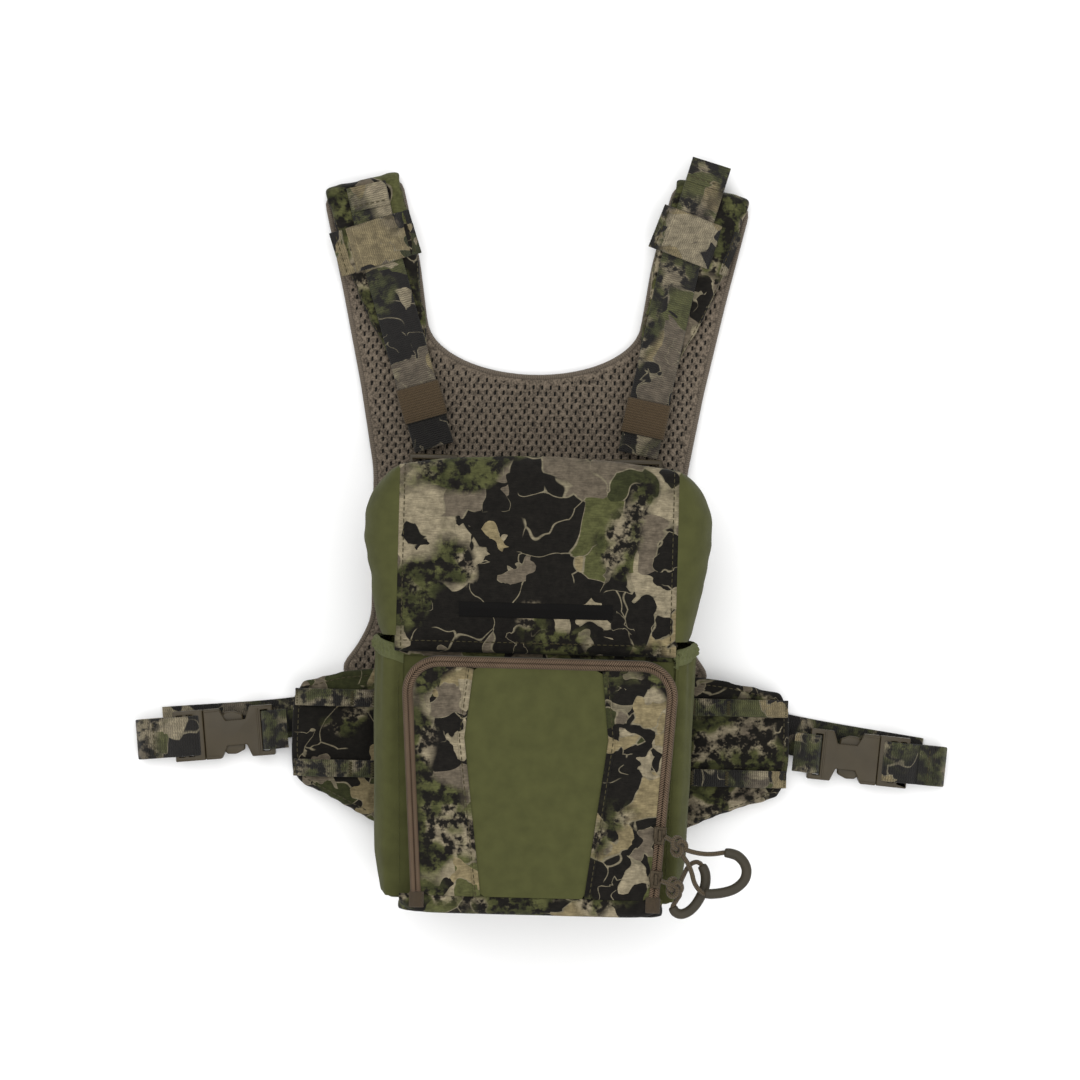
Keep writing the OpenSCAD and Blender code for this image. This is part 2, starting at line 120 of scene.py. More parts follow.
class HarnessSizes(bpy.types.PropertyGroup):
    """Sizes that shape the cloth and its details, in millimetres, and the pads' pressure."""

    lid_crown: size_choice("Lid crown", "How far the lid's middle stands up", 4.0, 0, 8)
    door_crown: size_choice("Pocket crown", "How far the front pocket bulges", 4.2, 0, 8)
    pad_pressure: size_choice("Pad pressure", "Air pressure that swells the pads", 4.0, 0, 10)
    pad_voxel: size_choice("Pad mesh", "Mesh size of the swelling pads", 4.0, 2, 8)
    slot_across: size_choice("Slot pitch across", "Sideways pitch of the mesh slots", 5.27, 4, 8)
    slot_along: size_choice("Slot pitch along", "Row pitch of the mesh slots", 3.8, 3, 6)
    stitch: size_choice("Stitch", "Length of one visible stitch", 2.6, 1.5, 5)
    tooth_pitch: size_choice("Coil pitch", "Pitch of the zipper's coil", 1.4, 1, 3)


def sizes():
    """The sizes set in the panel."""
    return bpy.context.scene.harness_sizes


def dye(name):
    """A colour set in the panel, with full alpha."""
    return (*getattr(bpy.context.scene.harness_colours, name), 1.0)


# ---- points, routes and outlines, in millimetres ----


def room(node):
    """Lowest and highest corner of a CAD node, in millimetres."""
    low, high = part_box(node)
    return np.array(low) / MM, np.array(high) / MM


def unit(vector):
    return vector / max(np.linalg.norm(vector), 1e-9)


def travelled(line):
    """How far along a line each of its points lies."""
    return np.r_[0, np.cumsum(np.linalg.norm(np.diff(line, axis=0), axis=1))]


def spots_at(at, travel, line):
    """Points of a line at distances along it."""
    return np.column_stack([np.interp(at, travel, axis) for axis in line.T])


def smooth_route(points, step=2.0):
    """A smooth line through the points, sampled about every step."""
    p = np.array(points, float)
    p = np.vstack((2 * p[0] - p[1], p, 2 * p[-1] - p[-2]))
    found = []
    for a, b, c, d in zip(p, p[1:], p[2:], p[3:]):
        count = max(1, round(np.linalg.norm(c - b) / step))
        for t in np.arange(count) / count:
            turn = (2 * a - 5 * b + 4 * c - d) * t + (3 * b - a - 3 * c + d) * t * t
            found.append(b + 0.5 * t * (c - a + turn))
    return np.array(found + [p[-2]])


def even_route(points, step, closed=False):
    """The same line as points, sampled in even steps."""
    p = np.array(points, float)
    if closed:
        p = np.vstack((p, p[:1]))
    travel = travelled(p)
    count = max(2, round(travel[-1] / step))
    at = np.linspace(0, travel[-1], count + 1)
    if closed:
        at = at[:-1]
    return spots_at(at, travel, p)


def rounded(outline, radius, steps=4):
    """A closed outline with its corners cut to curves."""
    p = np.array(outline, float)
    found = []
    for before, corner, after in zip(np.roll(p, 1, axis=0), p, np.roll(p, -1, axis=0)):
        back, on = before - corner, after - corner
        a = corner + unit(back) * min(radius, np.linalg.norm(back) * 0.45)
        b = corner + unit(on) * min(radius, np.linalg.norm(on) * 0.45)
        for t in np.linspace(0, 1, steps + 1):
            found.append((1 - t) ** 2 * a + 2 * t * (1 - t) * corner + t * t * b)
    return np.array(found)


def mirrored(outline):
    """An outline mirrored left to right, in the same turning sense."""
    flipped = np.array(outline, float)[::-1].copy()
    flipped[:, 0] *= -1
    return flipped


def drawn_in(outline, distance):
    """A closed outline drawn in by a distance."""
    ahead = np.roll(outline, -1, axis=0) - np.roll(outline, 1, axis=0)
    inward = np.column_stack((-ahead[:, 1], ahead[:, 0]))
    inward /= np.linalg.norm(inward, axis=1, keepdims=True)
    following = np.roll(outline, -1, axis=0)
    turn = np.sign((outline[:, 0] * following[:, 1] - outline[:, 1] * following[:, 0]).sum())
    return outline + turn * distance * inward


def at_height(points, height):
    """Flat points raised to one height."""
    p = np.array(points, float)
    return np.column_stack((p[:, :2], np.full(len(p), float(height))))


def depth_inside(points, outline):
    """How far each point lies inside a closed outline, and the outline's nearest point."""
    ends = np.roll(outline, -1, axis=0)
    best = np.full(len(points), np.inf)
    nearest = np.array(points, float)
    inside = np.zeros(len(points), bool)
    for a, b in zip(outline, ends):
        edge = b - a
        share = np.clip(((points - a) @ edge) / max(edge @ edge, 1e-9), 0, 1)
        foot = a + share[:, None] * edge
        away = np.linalg.norm(points - foot, axis=1)
        closer = away < best
        best[closer] = away[closer]
        nearest[closer] = foot[closer]
        crosses = (a[1] > points[:, 1]) != (b[1] > points[:, 1])
        slope = (b[0] - a[0]) / (b[1] - a[1]) if b[1] != a[1] else 0.0
        inside ^= crosses & (points[:, 0] < a[0] + (points[:, 1] - a[1]) * slope)
    return np.where(inside, best, -best), nearest


def ripple(x, y, z, size, seed):
    """Smooth noise from -1 to 1 at points, with folds of about the given size."""
    shift = Vector((seed * 17.3, seed * 5.1, SEED))
    points = np.column_stack(np.broadcast_arrays(x, y, z))
    return np.array([noise.noise(Vector(p) / size + shift) for p in points]) * 1.6


# ---- modelling tools ----


def deselect_all():
    if bpy.context.mode != "OBJECT":
        bpy.ops.object.mode_set(mode="OBJECT")
    bpy.ops.object.select_all(action="DESELECT")


def make_active(obj):
    """Selects one object alone."""
    deselect_all()
    obj.select_set(True)
    bpy.context.view_layer.objects.active = obj


@contextlib.contextmanager
def editing(obj, select="SELECT"):
    """Edit mode on one piece, with everything, nothing or what was chosen before selected."""
    make_active(obj)
    bpy.ops.object.mode_set(mode="EDIT")
    if select:
        bpy.ops.mesh.select_all(action=select)
    yield
    bpy.ops.object.mode_set(mode="OBJECT")


def vertices(obj):
    """A mesh's points in millimetres."""
    found = np.empty(len(obj.data.vertices) * 3)
    obj.data.vertices.foreach_get("co", found)
    return found.reshape(-1, 3) / MM


def move_vertices(obj, points):
    obj.data.vertices.foreach_set("co", (np.asarray(points) * MM).ravel())
    obj.data.update()


def apply_modifier(obj, kind, **settings):
    """Adds a modifier, sets it and applies it."""
    make_active(obj)
    modifier = obj.modifiers.new("Work", kind)
    for name, value in settings.items():
        setattr(modifier, name, value)
    bpy.ops.object.modifier_apply(modifier=modifier.name)


def cloth_grid(name, columns, rows, place):
    """A grid primitive laid on a surface; place turns shares across and along into x, y and z."""
    deselect_all()
    bpy.ops.mesh.primitive_grid_add(x_subdivisions=columns, y_subdivisions=rows, size=1)
    obj = bpy.context.object
    obj.name = obj.data.name = name
    across, along = vertices(obj)[:, :2].T * MM + 0.5
    move_vertices(obj, np.column_stack(place(across, along)))
    return obj


def scale_map(obj, width, length):
    """Sizes the piece's own map to the cloth, in metres."""
    layer = obj.data.uv_layers.active.data
    at = np.empty(len(layer) * 2)
    layer.foreach_get("uv", at)
    at = at.reshape(-1, 2) * np.array((width, length)) * MM
    layer.foreach_set("uv", at.ravel())


def close_up(obj, fill=True):
    """Joins seams that meet, closes open ends and turns every face outward."""
    with editing(obj):
        bpy.ops.mesh.remove_doubles(threshold=0.004 * MM)
        if fill:
            bpy.ops.mesh.fill_holes(sides=0)
        bpy.ops.mesh.select_all(action="SELECT")
        bpy.ops.mesh.normals_make_consistent(inside=False)


def skin(name, rings, width, length, closed):
    """A tube over rings of points; it runs back into its first ring, or its ends are filled."""
    count, around = rings.shape[:2]
    rows = count if closed else count - 1

    def place(u, v):
        i = np.rint(v * rows).astype(int) % count
        k = np.rint(u * around).astype(int) % around
        return rings[i, k].T

    obj = cloth_grid(name, around, rows, place)
    scale_map(obj, width, length)
    close_up(obj, fill=not closed)
    return obj


def sweep(name, route, profile, closed=False):
    """Sweeps a closed profile, across and outward, along a route; its width stays level."""
    route = np.asarray(route, float)
    profile = np.asarray(profile, float)
    if closed:
        ahead = np.roll(route, -1, axis=0) - np.roll(route, 1, axis=0)
    else:
        ahead = np.gradient(route, axis=0)
    across, outward = np.empty_like(route), np.empty_like(route)
    last = None
    for i, step in enumerate(ahead):
        step = unit(step)
        level = np.cross(UP, step)
        if last is not None and np.linalg.norm(level) < 0.3:
            level = last
        elif last is not None and level @ last < 0:
            level = -level
        last = unit(level - (level @ step) * step)
        across[i] = last
        outward[i] = np.cross(step, last)
    rings = (
        route[:, None, :]
        + profile[None, :, :1] * across[:, None, :]
        + profile[None, :, 1:2] * outward[:, None, :]
    )
    girth = np.linalg.norm(profile - np.roll(profile, 1, axis=0), axis=1).sum()
    return skin(name, rings, girth, travelled(route)[-1], closed)


def webbing_profile(width, thickness):
    """A flat bar with round edges."""
    r = thickness / 2
    edge = np.radians(np.linspace(-90, 90, 5))
    right = np.column_stack((width / 2 - r + r * np.cos(edge), r * np.sin(edge)))
    inner = np.array([(x * width, r) for x in (0.3, 0.1, -0.1, -0.3)])
    half = np.vstack((right, inner))
    return np.vstack((half, -half))


def round_profile(diameter, sides=10):
    """A round bar."""
    at = np.radians(np.arange(sides) * 360 / sides)
    return diameter / 2 * np.column_stack((np.cos(at), np.sin(at)))


def oval_profile(width, height, power=2.6, sides=16):
    """A soft bar, rounder than a box and squarer than an ellipse."""
    at = np.radians(np.arange(sides) * 360 / sides)
    x, y = np.cos(at), np.sin(at)
    return np.column_stack(
        (
            width / 2 * np.sign(x) * np.abs(x) ** (2 / power),
            height / 2 * np.sign(y) * np.abs(y) ** (2 / power),
        )
    )


def cut_cloth(name, outline, pitch, height, start=None):
    """A grid cut to an outline; height gives z from x, y and the distance from the edge."""
    outline = np.asarray(outline, float)
    low, high = outline.min(0), outline.max(0)
    low = low if start is None else start
    pitch = np.array(pitch, float)
    cells = np.ceil((high - low) / pitch).astype(int)

    def place(u, v):
        return (low[0] + u * cells[0] * pitch[0], low[1] + v * cells[1] * pitch[1], u * 0)

    obj = cloth_grid(name, int(cells[0]), int(cells[1]), place)
    scale_map(obj, *(cells * pitch))
    at = vertices(obj)[:, :2]
    depth = depth_inside(at, outline)[0]
    drop_vertices(obj, depth < 0.35 * pitch.min())
    at = vertices(obj)[:, :2]
    depth, nearest = depth_inside(at, outline)
    rim = rim_vertices(obj)
    at[rim] = nearest[rim]
    depth[rim] = 0
    depth = np.maximum(depth, 0)
    move_vertices(obj, np.column_stack((at, height(at[:, 0], at[:, 1], depth))))
    return obj


def drop_vertices(obj, unwanted):
    """Deletes the marked points."""
    with editing(obj, "DESELECT"):
        bpy.ops.mesh.select_mode(type="VERT")
    obj.data.vertices.foreach_set("select", np.asarray(unwanted, bool))
    with editing(obj, None):
        bpy.ops.mesh.delete(type="VERT")


def rim_vertices(obj):
    """Marks the points on a sheet's open edge."""
    with editing(obj, "DESELECT"):
        bpy.ops.mesh.select_mode(type="VERT")
        bpy.ops.mesh.select_non_manifold()
    return chosen_vertices(obj)


def chosen_vertices(obj):
    """Marks the selected points."""
    found = np.zeros(len(obj.data.vertices), bool)
    obj.data.vertices.foreach_get("select", found)
    return found


def back_with_cloth(obj, level):
    """Closes a sheet into a pad by drawing its edge to a level and filling across it."""
    rim_vertices(obj)
    with editing(obj, None):
        bpy.ops.mesh.extrude_region_move()
    points = vertices(obj)
    points[chosen_vertices(obj), 2] = level
    move_vertices(obj, points)
    with editing(obj, None):
        bpy.ops.mesh.fill()
        bpy.ops.mesh.select_all(action="SELECT")
        bpy.ops.mesh.normals_make_consistent(inside=False)


def face_away(obj, inside):
    """Turns an open sheet's faces away from a point that lies behind it."""
    way = 0.0
    for face in obj.data.polygons:
        way += (face.center - Vector(inside) * MM).dot(face.normal) * face.area
    if way < 0:
        with editing(obj):
            bpy.ops.mesh.flip_normals()


def thicken(obj, thickness, inside):
    """Gives a sheet its thickness, towards a point behind it."""
    face_away(obj, inside)
    apply_modifier(obj, "SOLIDIFY", thickness=thickness * MM, offset=-1, use_even_offset=False)


def copy_of(node, name):
    """A clean copy of a CAD node, with its flat faces whole."""
    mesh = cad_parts[node].data.copy()
    obj = bpy.data.objects.new(name, mesh)
    mesh.name = name
    bpy.context.scene.collection.objects.link(obj)
    mesh.materials.clear()
    make_active(obj)
    if mesh.has_custom_normals:
        bpy.ops.mesh.customdata_custom_splitnormals_clear()
    with editing(obj):
        bpy.ops.mesh.remove_doubles(threshold=0.002 * MM)
        bpy.ops.mesh.dissolve_limited(angle_limit=math.radians(0.5))
    return obj


def soften_edges(obj, width, segments=3, angle=28):
    """Bevels the edges between faces that turn by more than an angle."""
    apply_modifier(
        obj,
        "BEVEL",
        width=width * MM,
        segments=segments,
        limit_method="ANGLE",
        angle_limit=math.radians(angle),
    )


def block(name, low, high, width, segments=3, divide=0):
    """A cube primitive set between two corners, with its edges rounded."""
    low, high = np.array(low, float), np.array(high, float)
    deselect_all()
    bpy.ops.mesh.primitive_cube_add(size=1)
    obj = bpy.context.object
    obj.name = obj.data.name = name
    move_vertices(obj, low + (vertices(obj) * MM + 0.5) * (high - low))
    if divide:
        with editing(obj):
            bpy.ops.mesh.subdivide(number_cuts=divide)
    soften_edges(obj, width, segments)
    return obj


SWELL_FRAMES = 20


def swell(obj, reach):
    """Remeshes a pad and lets air pressure swell its cloth, by no more than reach."""
    size = sizes()
    apply_modifier(obj, "REMESH", mode="VOXEL", voxel_size=size.pad_voxel * MM)
    rest = vertices(obj)
    make_active(obj)
    cloth = obj.modifiers.new("Swell", "CLOTH")
    cloth.settings.use_pressure = True
    cloth.settings.uniform_pressure_force = size.pad_pressure
    cloth.settings.effector_weights.gravity = 0
    cloth.point_cache.frame_start = 1
    cloth.point_cache.frame_end = SWELL_FRAMES
    for step in range(1, SWELL_FRAMES + 1):
        bpy.context.scene.frame_set(step)
    bpy.ops.object.modifier_apply(modifier=cloth.name)
    bpy.context.scene.frame_set(1)
    moved = vertices(obj) - rest
    length = np.linalg.norm(moved, axis=1, keepdims=True)
    move_vertices(obj, rest + moved * np.minimum(1, reach / np.maximum(length, 1e-6)))
    apply_modifier(obj, "SMOOTH", factor=0.5, iterations=2)
    apply_modifier(obj, "SUBSURF", levels=1, render_levels=1)


def drop_on(obj, points):
    """Where points land on a piece from above, and which way it faces there."""
    bpy.context.view_layer.update()
    found, facing = [], []
    for x, y in np.asarray(points, float)[:, :2]:
        hit, spot, normal, _ = obj.ray_cast(Vector((x, y, 200)) * MM, Vector((0, 0, -1)))
        if hit:
            found.append(np.array(spot) / MM)
            facing.append(np.array(normal))
    return np.array(found), np.array(facing)


def repeat(name, shape, centres, along, outward, size):
    """Copies one small shape to many places in a single mesh, each turned to its directions."""
    points, faces = shape
    centres = np.asarray(centres, float)
    y = along / np.linalg.norm(along, axis=1, keepdims=True)
    z = outward - (outward * y).sum(1, keepdims=True) * y
    z = z / np.linalg.norm(z, axis=1, keepdims=True)
    x = np.cross(y, z)
    p = points * np.array(size)
    placed = (
        centres[:, None, :]
        + p[None, :, :1] * x[:, None, :]
        + p[None, :, 1:2] * y[:, None, :]
        + p[None, :, 2:3] * z[:, None, :]
    )
    count = len(points)
    every = [[i * count + k for k in face] for i in range(len(centres)) for face in faces]
    mesh = bpy.data.meshes.new(name)
    mesh.from_pydata((placed.reshape(-1, 3) * MM).tolist(), [], every)
    mesh.update()
    obj = bpy.data.objects.new(name, mesh)
    bpy.context.scene.collection.objects.link(obj)
    return obj


def thread_shape():
    """One stitch or tooth, as a small round-ended capsule one unit long."""
    deselect_all()
    bpy.ops.mesh.primitive_uv_sphere_add(segments=6, ring_count=4, radius=0.5)
    ball = bpy.context.object
    points = vertices(ball) * MM
    points = points[:, (0, 2, 1)]
    points[:, 1] = np.sign(points[:, 1]) * np.abs(points[:, 1] * 2) ** 0.7 / 2
    faces = [list(face.vertices)[::-1] for face in ball.data.polygons]
    bpy.data.objects.remove(ball)
    return points, faces


def stitch_row(name, line, facing, thick=0.75, gap=0.9):
    """A row of lockstitches laid along a line on a surface."""
    line = np.asarray(line, float)
    facing = np.broadcast_to(np.asarray(facing, float), line.shape)
    travel = travelled(line)
    length = sizes().stitch
    at = np.arange(length / 2, travel[-1], length + gap)
    out = spots_at(at, travel, facing)
    centre = spots_at(at, travel, line) + out * 0.05
    along = spots_at(at + 0.5, travel, line) - spots_at(at - 0.5, travel, line)
    return repeat(name, thread_shape(), centre, along, out, (thick, length, thick))


def join_pieces(name, parts):
    """Joins pieces of one material into one object."""
    make_active(parts[0])
    for part in parts:
        part.select_set(True)
    if len(parts) > 1:
        bpy.ops.object.join()
    obj = bpy.context.object
    obj.name = obj.data.name = name
    return obj


def finish_piece(obj, material, body, nodes=(), lining=None, angle=40):
    """Gives a piece its finish and shading, and ties it to the frame unless it has no body."""
    obj.data.materials.clear()
    obj.data.materials.append(material)
    if lining:
        obj.data.materials.append(lining)
    make_active(obj)
    bpy.ops.object.shade_smooth_by_angle(angle=math.radians(angle))
    if body:
        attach(obj, body)
    if nodes:
        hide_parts(*nodes)
    return obj


def sew(name, rows, body):
    """Joins rows of stitches into one piece of thread."""
    finish_piece(join_pieces(name, rows), sewing_thread(), body)


def lay_strap(name, route, size, cloth, body, *nodes):
    """Lays webbing of a width and thickness along a route, and finishes it."""
    strap = sweep(name, route, webbing_profile(*size))
    finish_piece(strap, cloth, body, nodes)


def mould(name, node, body, *edges):
    """A plastic copy of a CAD node with softened edges."""
    piece = copy_of(node, name)
    soften_edges(piece, *edges)
    return finish_piece(piece, acetal_hardware(), body, [node])


# ---- finishes ----


def add(tree, kind, inputs=None, stops=None, **settings):
    """Adds a node with its settings, its ramp stops and its inputs: values or other sockets."""
    node = tree.nodes.new(kind)
    for name, value in settings.items():
        setattr(node, name, value)
    if stops:
        elements = node.color_ramp.elements
        while len(elements) < len(stops):
            elements.new(1.0)
        for element, (position, colour) in zip(elements, stops):
            element.position = position
            element.color = colour
    for socket, value in (inputs or {}).items():
        if isinstance(value, bpy.types.NodeSocket):
            tree.links.new(value, node.inputs[socket])
        else:
            node.inputs[socket].default_value = value
    return node


def grey(value):
    return (value, value, value, 1.0)


def solid(code):
    """A hex colour with full alpha."""
    return (*linear(code), 1.0)


def tinted(colour, factor):
    """A colour made lighter or darker, with full alpha."""
    return (*(factor * c for c in colour[:3]), 1.0)


def maths(tree, operation, *values):
    """What a maths node makes of its values."""
    return add(tree, "ShaderNodeMath", dict(enumerate(values)), operation=operation).outputs[0]


def vector_maths(tree, operation, vector, other):
    """What a vector maths node makes of a vector, with another vector or with a scale."""
    second = "Scale" if operation == "SCALE" else 1
    return add(tree, "ShaderNodeVectorMath", {0: vector, second: other},
               operation=operation).outputs[0]


def lumps(tree, place, size, detail, **more):
    """Noise with lumps of about one size."""
    return add(tree, "ShaderNodeTexNoise",
               {"Vector": place, "Scale": 1 / size, "Detail": detail, **more}).outputs[0]


def spread(tree, value, low, high, lowest=0.0, highest=1.0):
    """A value mapped from one span onto another."""
    return add(tree, "ShaderNodeMapRange",
               {0: value, 1: low, 2: high, 3: lowest, 4: highest}).outputs[0]


def mixed(tree, share, one, other):
    """Two colours mixed by a share."""
    return add(tree, "ShaderNodeMix", {0: share, 6: one, 7: other}, data_type="RGBA").outputs[2]


def shades(tree, share, *stops):
    """The colours of a ramp along a share."""
    return add(tree, "ShaderNodeValToRGB", {0: share}, stops=stops).outputs[0]


def start_material(name, roughness, **shader_values):
    """A material with one shader, and its coordinates."""
    material = bpy.data.materials.new(name)
    material.use_nodes = True
    tree = material.node_tree
    tree.nodes.clear()
    shader = add(tree, "ShaderNodeBsdfPrincipled", {"Roughness": roughness, **shader_values})
    add(tree, "ShaderNodeOutputMaterial", {"Surface": shader.outputs[0]})
    where = add(tree, "ShaderNodeTexCoord")
    return material, tree, shader, where


def surface(tree, shader, colour, height, strength, lift, **settings):
    """Gives a shader its colour, and bumps that lift it by up to some millimetres."""
    tree.links.new(colour, shader.inputs["Base Color"])
    bump = add(tree, "ShaderNodeBump",
               {"Strength": strength, "Distance": lift * MM, "Height": height}, **settings)
    tree.links.new(bump.outputs[0], shader.inputs["Normal"])


# the print's sizes in millimetres, and the share of cells that show a small blob
BIG_BLOB, SMALL_BLOB, SMALL_SHARE = 30, 15, 0.26
LINE_CORE, LINE_EDGE = 0.3, 0.8
SPECKLE, ZONE = 6.5, 58


def camo_print():
    """The printed pattern as a group: outlined blobs over a speckled ground, from millimetres."""
    group = bpy.data.node_groups.get("blob_print")
    if group:
        return group
    group = bpy.data.node_groups.new("blob_print", "ShaderNodeTree")
    group.interface.new_socket("Place", in_out="INPUT", socket_type="NodeSocketVector")
    group.interface.new_socket("Colour", in_out="OUTPUT", socket_type="NodeSocketColor")
    place = add(group, "NodeGroupInput").outputs[0]
    dark, olive, moss, stone, taupe, khaki, pale = map(
        dye, ("dark", "olive", "moss", "stone", "taupe", "khaki", "outline"))

    def layer(shift, wander_size, wander, cell, *stops):
        """Blobs of one size: their chances, their colours and the lines around some of them."""
        moved = vector_maths(group, "ADD", place, shift)
        drift = lumps(group, moved, wander_size, 1.0).node.outputs["Color"]
        centred = vector_maths(group, "SUBTRACT", drift, (0.5, 0.5, 0.5))
        bent = vector_maths(group, "ADD", moved, vector_maths(group, "SCALE", centred, wander))
        near, second = [
            add(group, "ShaderNodeTexVoronoi", {"Vector": bent, "Scale": 1 / cell},
                distance="CHEBYCHEV", feature=feature).outputs for feature in ("F1", "F2")]
        chance = add(group, "ShaderNodeSeparateColor", {0: near["Color"]}).outputs[0]
        colour = shades(group, chance, *stops)
        colour.node.color_ramp.interpolation = "CONSTANT"
        gap = maths(group, "SUBTRACT", second["Distance"], near["Distance"])
        line = spread(group, gap, LINE_CORE / cell, LINE_EDGE / cell, 1.0, 0.0)
        drift_share = add(group, "ShaderNodeSeparateColor", {0: drift}).outputs[2]
        drawn = spread(group, drift_share, 0.44, 0.48)
        return chance, colour, maths(group, "MULTIPLY", line, drawn)

    _, big, big_line = layer(
        (0, 0, 0), 26, 30, BIG_BLOB, (0.0, dark), (0.38, olive), (0.56, taupe), (0.66, dark),
        (0.77, stone), (0.86, khaki), (0.94, moss))
    chance, small, small_line = layer(
        (411, 97, 53), 14, 16, SMALL_BLOB, (0.0, dark), (0.77, stone), (0.83, khaki),
        (0.88, taupe), (0.93, dark))
    lined = mixed(group, big_line, big, pale)
    small = mixed(group, small_line, small, pale)
    shown = maths(group, "GREATER_THAN", chance, 1 - SMALL_SHARE)
    blobs = mixed(group, shown, lined, small)

    # speckled ground: soft dark spots over green and stone
    ground = shades(group, lumps(group, place, 26, 2.0), (0.36, olive), (0.45, moss),
                    (0.51, olive), (0.57, stone), (0.68, taupe))
    spots = spread(group, lumps(group, place, SPECKLE, 3.0, Roughness=0.62), 0.44, 0.56)
    speckled = mixed(group, spots, ground, dark)
    zone = spread(group, lumps(group, place, ZONE, 1.5), 0.49, 0.535)
    print_colour = mixed(group, zone, blobs, speckled)

    # heathered yarn: faint level streaks, and a worn nap
    level = vector_maths(group, "MULTIPLY", place, (0.22, 1.5, 0.8))
    yarn = spread(group, lumps(group, level, 1.0, 2.0), 0.3, 0.7, 0.80, 1.22)
    worn = spread(group, lumps(group, place, 4.5, 4.0, Roughness=0.65), 0.35, 0.7, 0.72, 1.35)
    tone = maths(group, "MULTIPLY", yarn, worn)
    add(group, "NodeGroupOutput", {0: vector_maths(group, "SCALE", print_colour, tone)})
    return group


def printed_place(tree, where, shift=(0, 0, 0), turn=0):
    """Object coordinates in millimetres, moved and turned to another part of the print."""
    return add(tree, "ShaderNodeMapping",
               {"Vector": where.outputs["Object"], "Location": shift,
                "Rotation": (0, 0, math.radians(turn)), "Scale": (1000, 1000, 1000)}).outputs[0]


def printed_colour(tree, place):
    """The print's colour at a place."""
    return add(tree, "ShaderNodeGroup", {0: place}, node_tree=camo_print()).outputs[0]


def camo_fabric(name, shift, turn=0):
    """Brushed polyester with a printed pattern: matt, with a short soft nap."""
    name = "brushed_print_" + name
    if name in bpy.data.materials:
        return bpy.data.materials[name]
    material, tree, shader, where = start_material(
        name, 0.92, **{"Sheen Weight": 0.05, "Sheen Roughness": 0.5, "Specular IOR Level": 0.12})
    place = printed_place(tree, where, shift, turn)
    nap = lumps(tree, place, 1.1, 3.0)
    both = maths(tree, "MULTIPLY_ADD", lumps(tree, place, 14, 2.0), 4.0, nap)
    surface(tree, shader, printed_colour(tree, place), both, 0.45, 0.4)
    return material


def rounds(tree, distance, pitch):
    """A map distance in metres as an angle that goes round once in a pitch in millimetres."""
    return maths(tree, "MULTIPLY", distance, 2000 * math.pi / pitch)


def woven_strap(name, shift=(0, 0, 0), turn=0, plain=None, pitch=1.3, across=False, depth=0.22):
    """Woven nylon webbing or elastic: matt, with ribs one pitch apart across its length."""
    name = "ribbed_webbing_" + name
    if name in bpy.data.materials:
        return bpy.data.materials[name]
    material, tree, shader, where = start_material(
        name, 0.8, **{"Sheen Weight": 0.08, "Specular IOR Level": 0.3})
    along = add(tree, "ShaderNodeSeparateXYZ", {0: where.outputs["UV"]})
    turns = rounds(tree, along.outputs[0 if across else 1], pitch)
    cross = maths(tree, "SINE", rounds(tree, along.outputs[1 if across else 0], 1.7))
    rib = maths(tree, "SINE", maths(tree, "MULTIPLY_ADD", cross, 0.9, turns))
    # painted shade in the grooves between the ribs, and painted light on their crests
    shade = spread(tree, rib, -1.0, 1.0, 0.92 - depth, 0.92 + depth)
    if plain:
        blotch = add(tree, "ShaderNodeTexNoise", {"Vector": where.outputs["Object"],
                                                  "Scale": 900.0, "Detail": 2.0})
        colour = mixed(tree, blotch.outputs[0], tinted(plain, 0.75), tinted(plain, 1.3))
    else:
        colour = printed_colour(tree, printed_place(tree, where, shift, turn))
    surface(tree, shader, vector_maths(tree, "SCALE", colour, shade), rib, 0.7, 0.3)
    return material


def plain_cloth(name, colour, roughness=0.85, yarn=1.4, lift=0.25, sheen=0.1):
    """Plain woven cloth: a fine square weave, with painted shade between its yarns, and slight
    unevenness of dye.
    """
    if name in bpy.data.materials:
        return bpy.data.materials[name]
    material, tree, shader, where = start_material(
        name, roughness, **{"Sheen Weight": sheen, "Specular IOR Level": 0.13})
    place = printed_place(tree, where)
    warp, weft = [
        add(tree, "ShaderNodeTexWave", {"Vector": place, "Scale": 0.314 / yarn * 2},
            bands_direction=way).outputs["Fac"] for way in "XY"]
    weave = maths(tree, "MULTIPLY", warp, weft)
    # the colour darkens between the weave's yarns: painted shade; the noise adds uneven dye
    share = maths(tree, "MULTIPLY_ADD", weave, 0.45, lumps(tree, place, 9, 4.0))
    tone = shades(tree, share, (0.3, tinted(colour, 0.82)), (0.9, tinted(colour, 1.16)))
    surface(tree, shader, tone, weave, lift, 0.3)
    return material


def stretch_cloth():
    """Nylon stretch-woven cloth: smooth, matt, with a very fine weave."""
    return plain_cloth("stretch_woven_nylon", dye("stretch"), 0.85, 1.2, 0.18, 0.02)


def lining_cloth():
    """Dark coated pack lining: smooth plain weave with a dull shine."""
    return plain_cloth("coated_lining", solid("#35372a"), 0.6, 1.6, 0.2, 0.0)


def sewing_thread():
    """Bonded nylon thread: twisted, with a slight shine."""
    return plain_cloth("bonded_thread", solid("#38331f"), 0.6, 0.6, 0.1, 0.1)


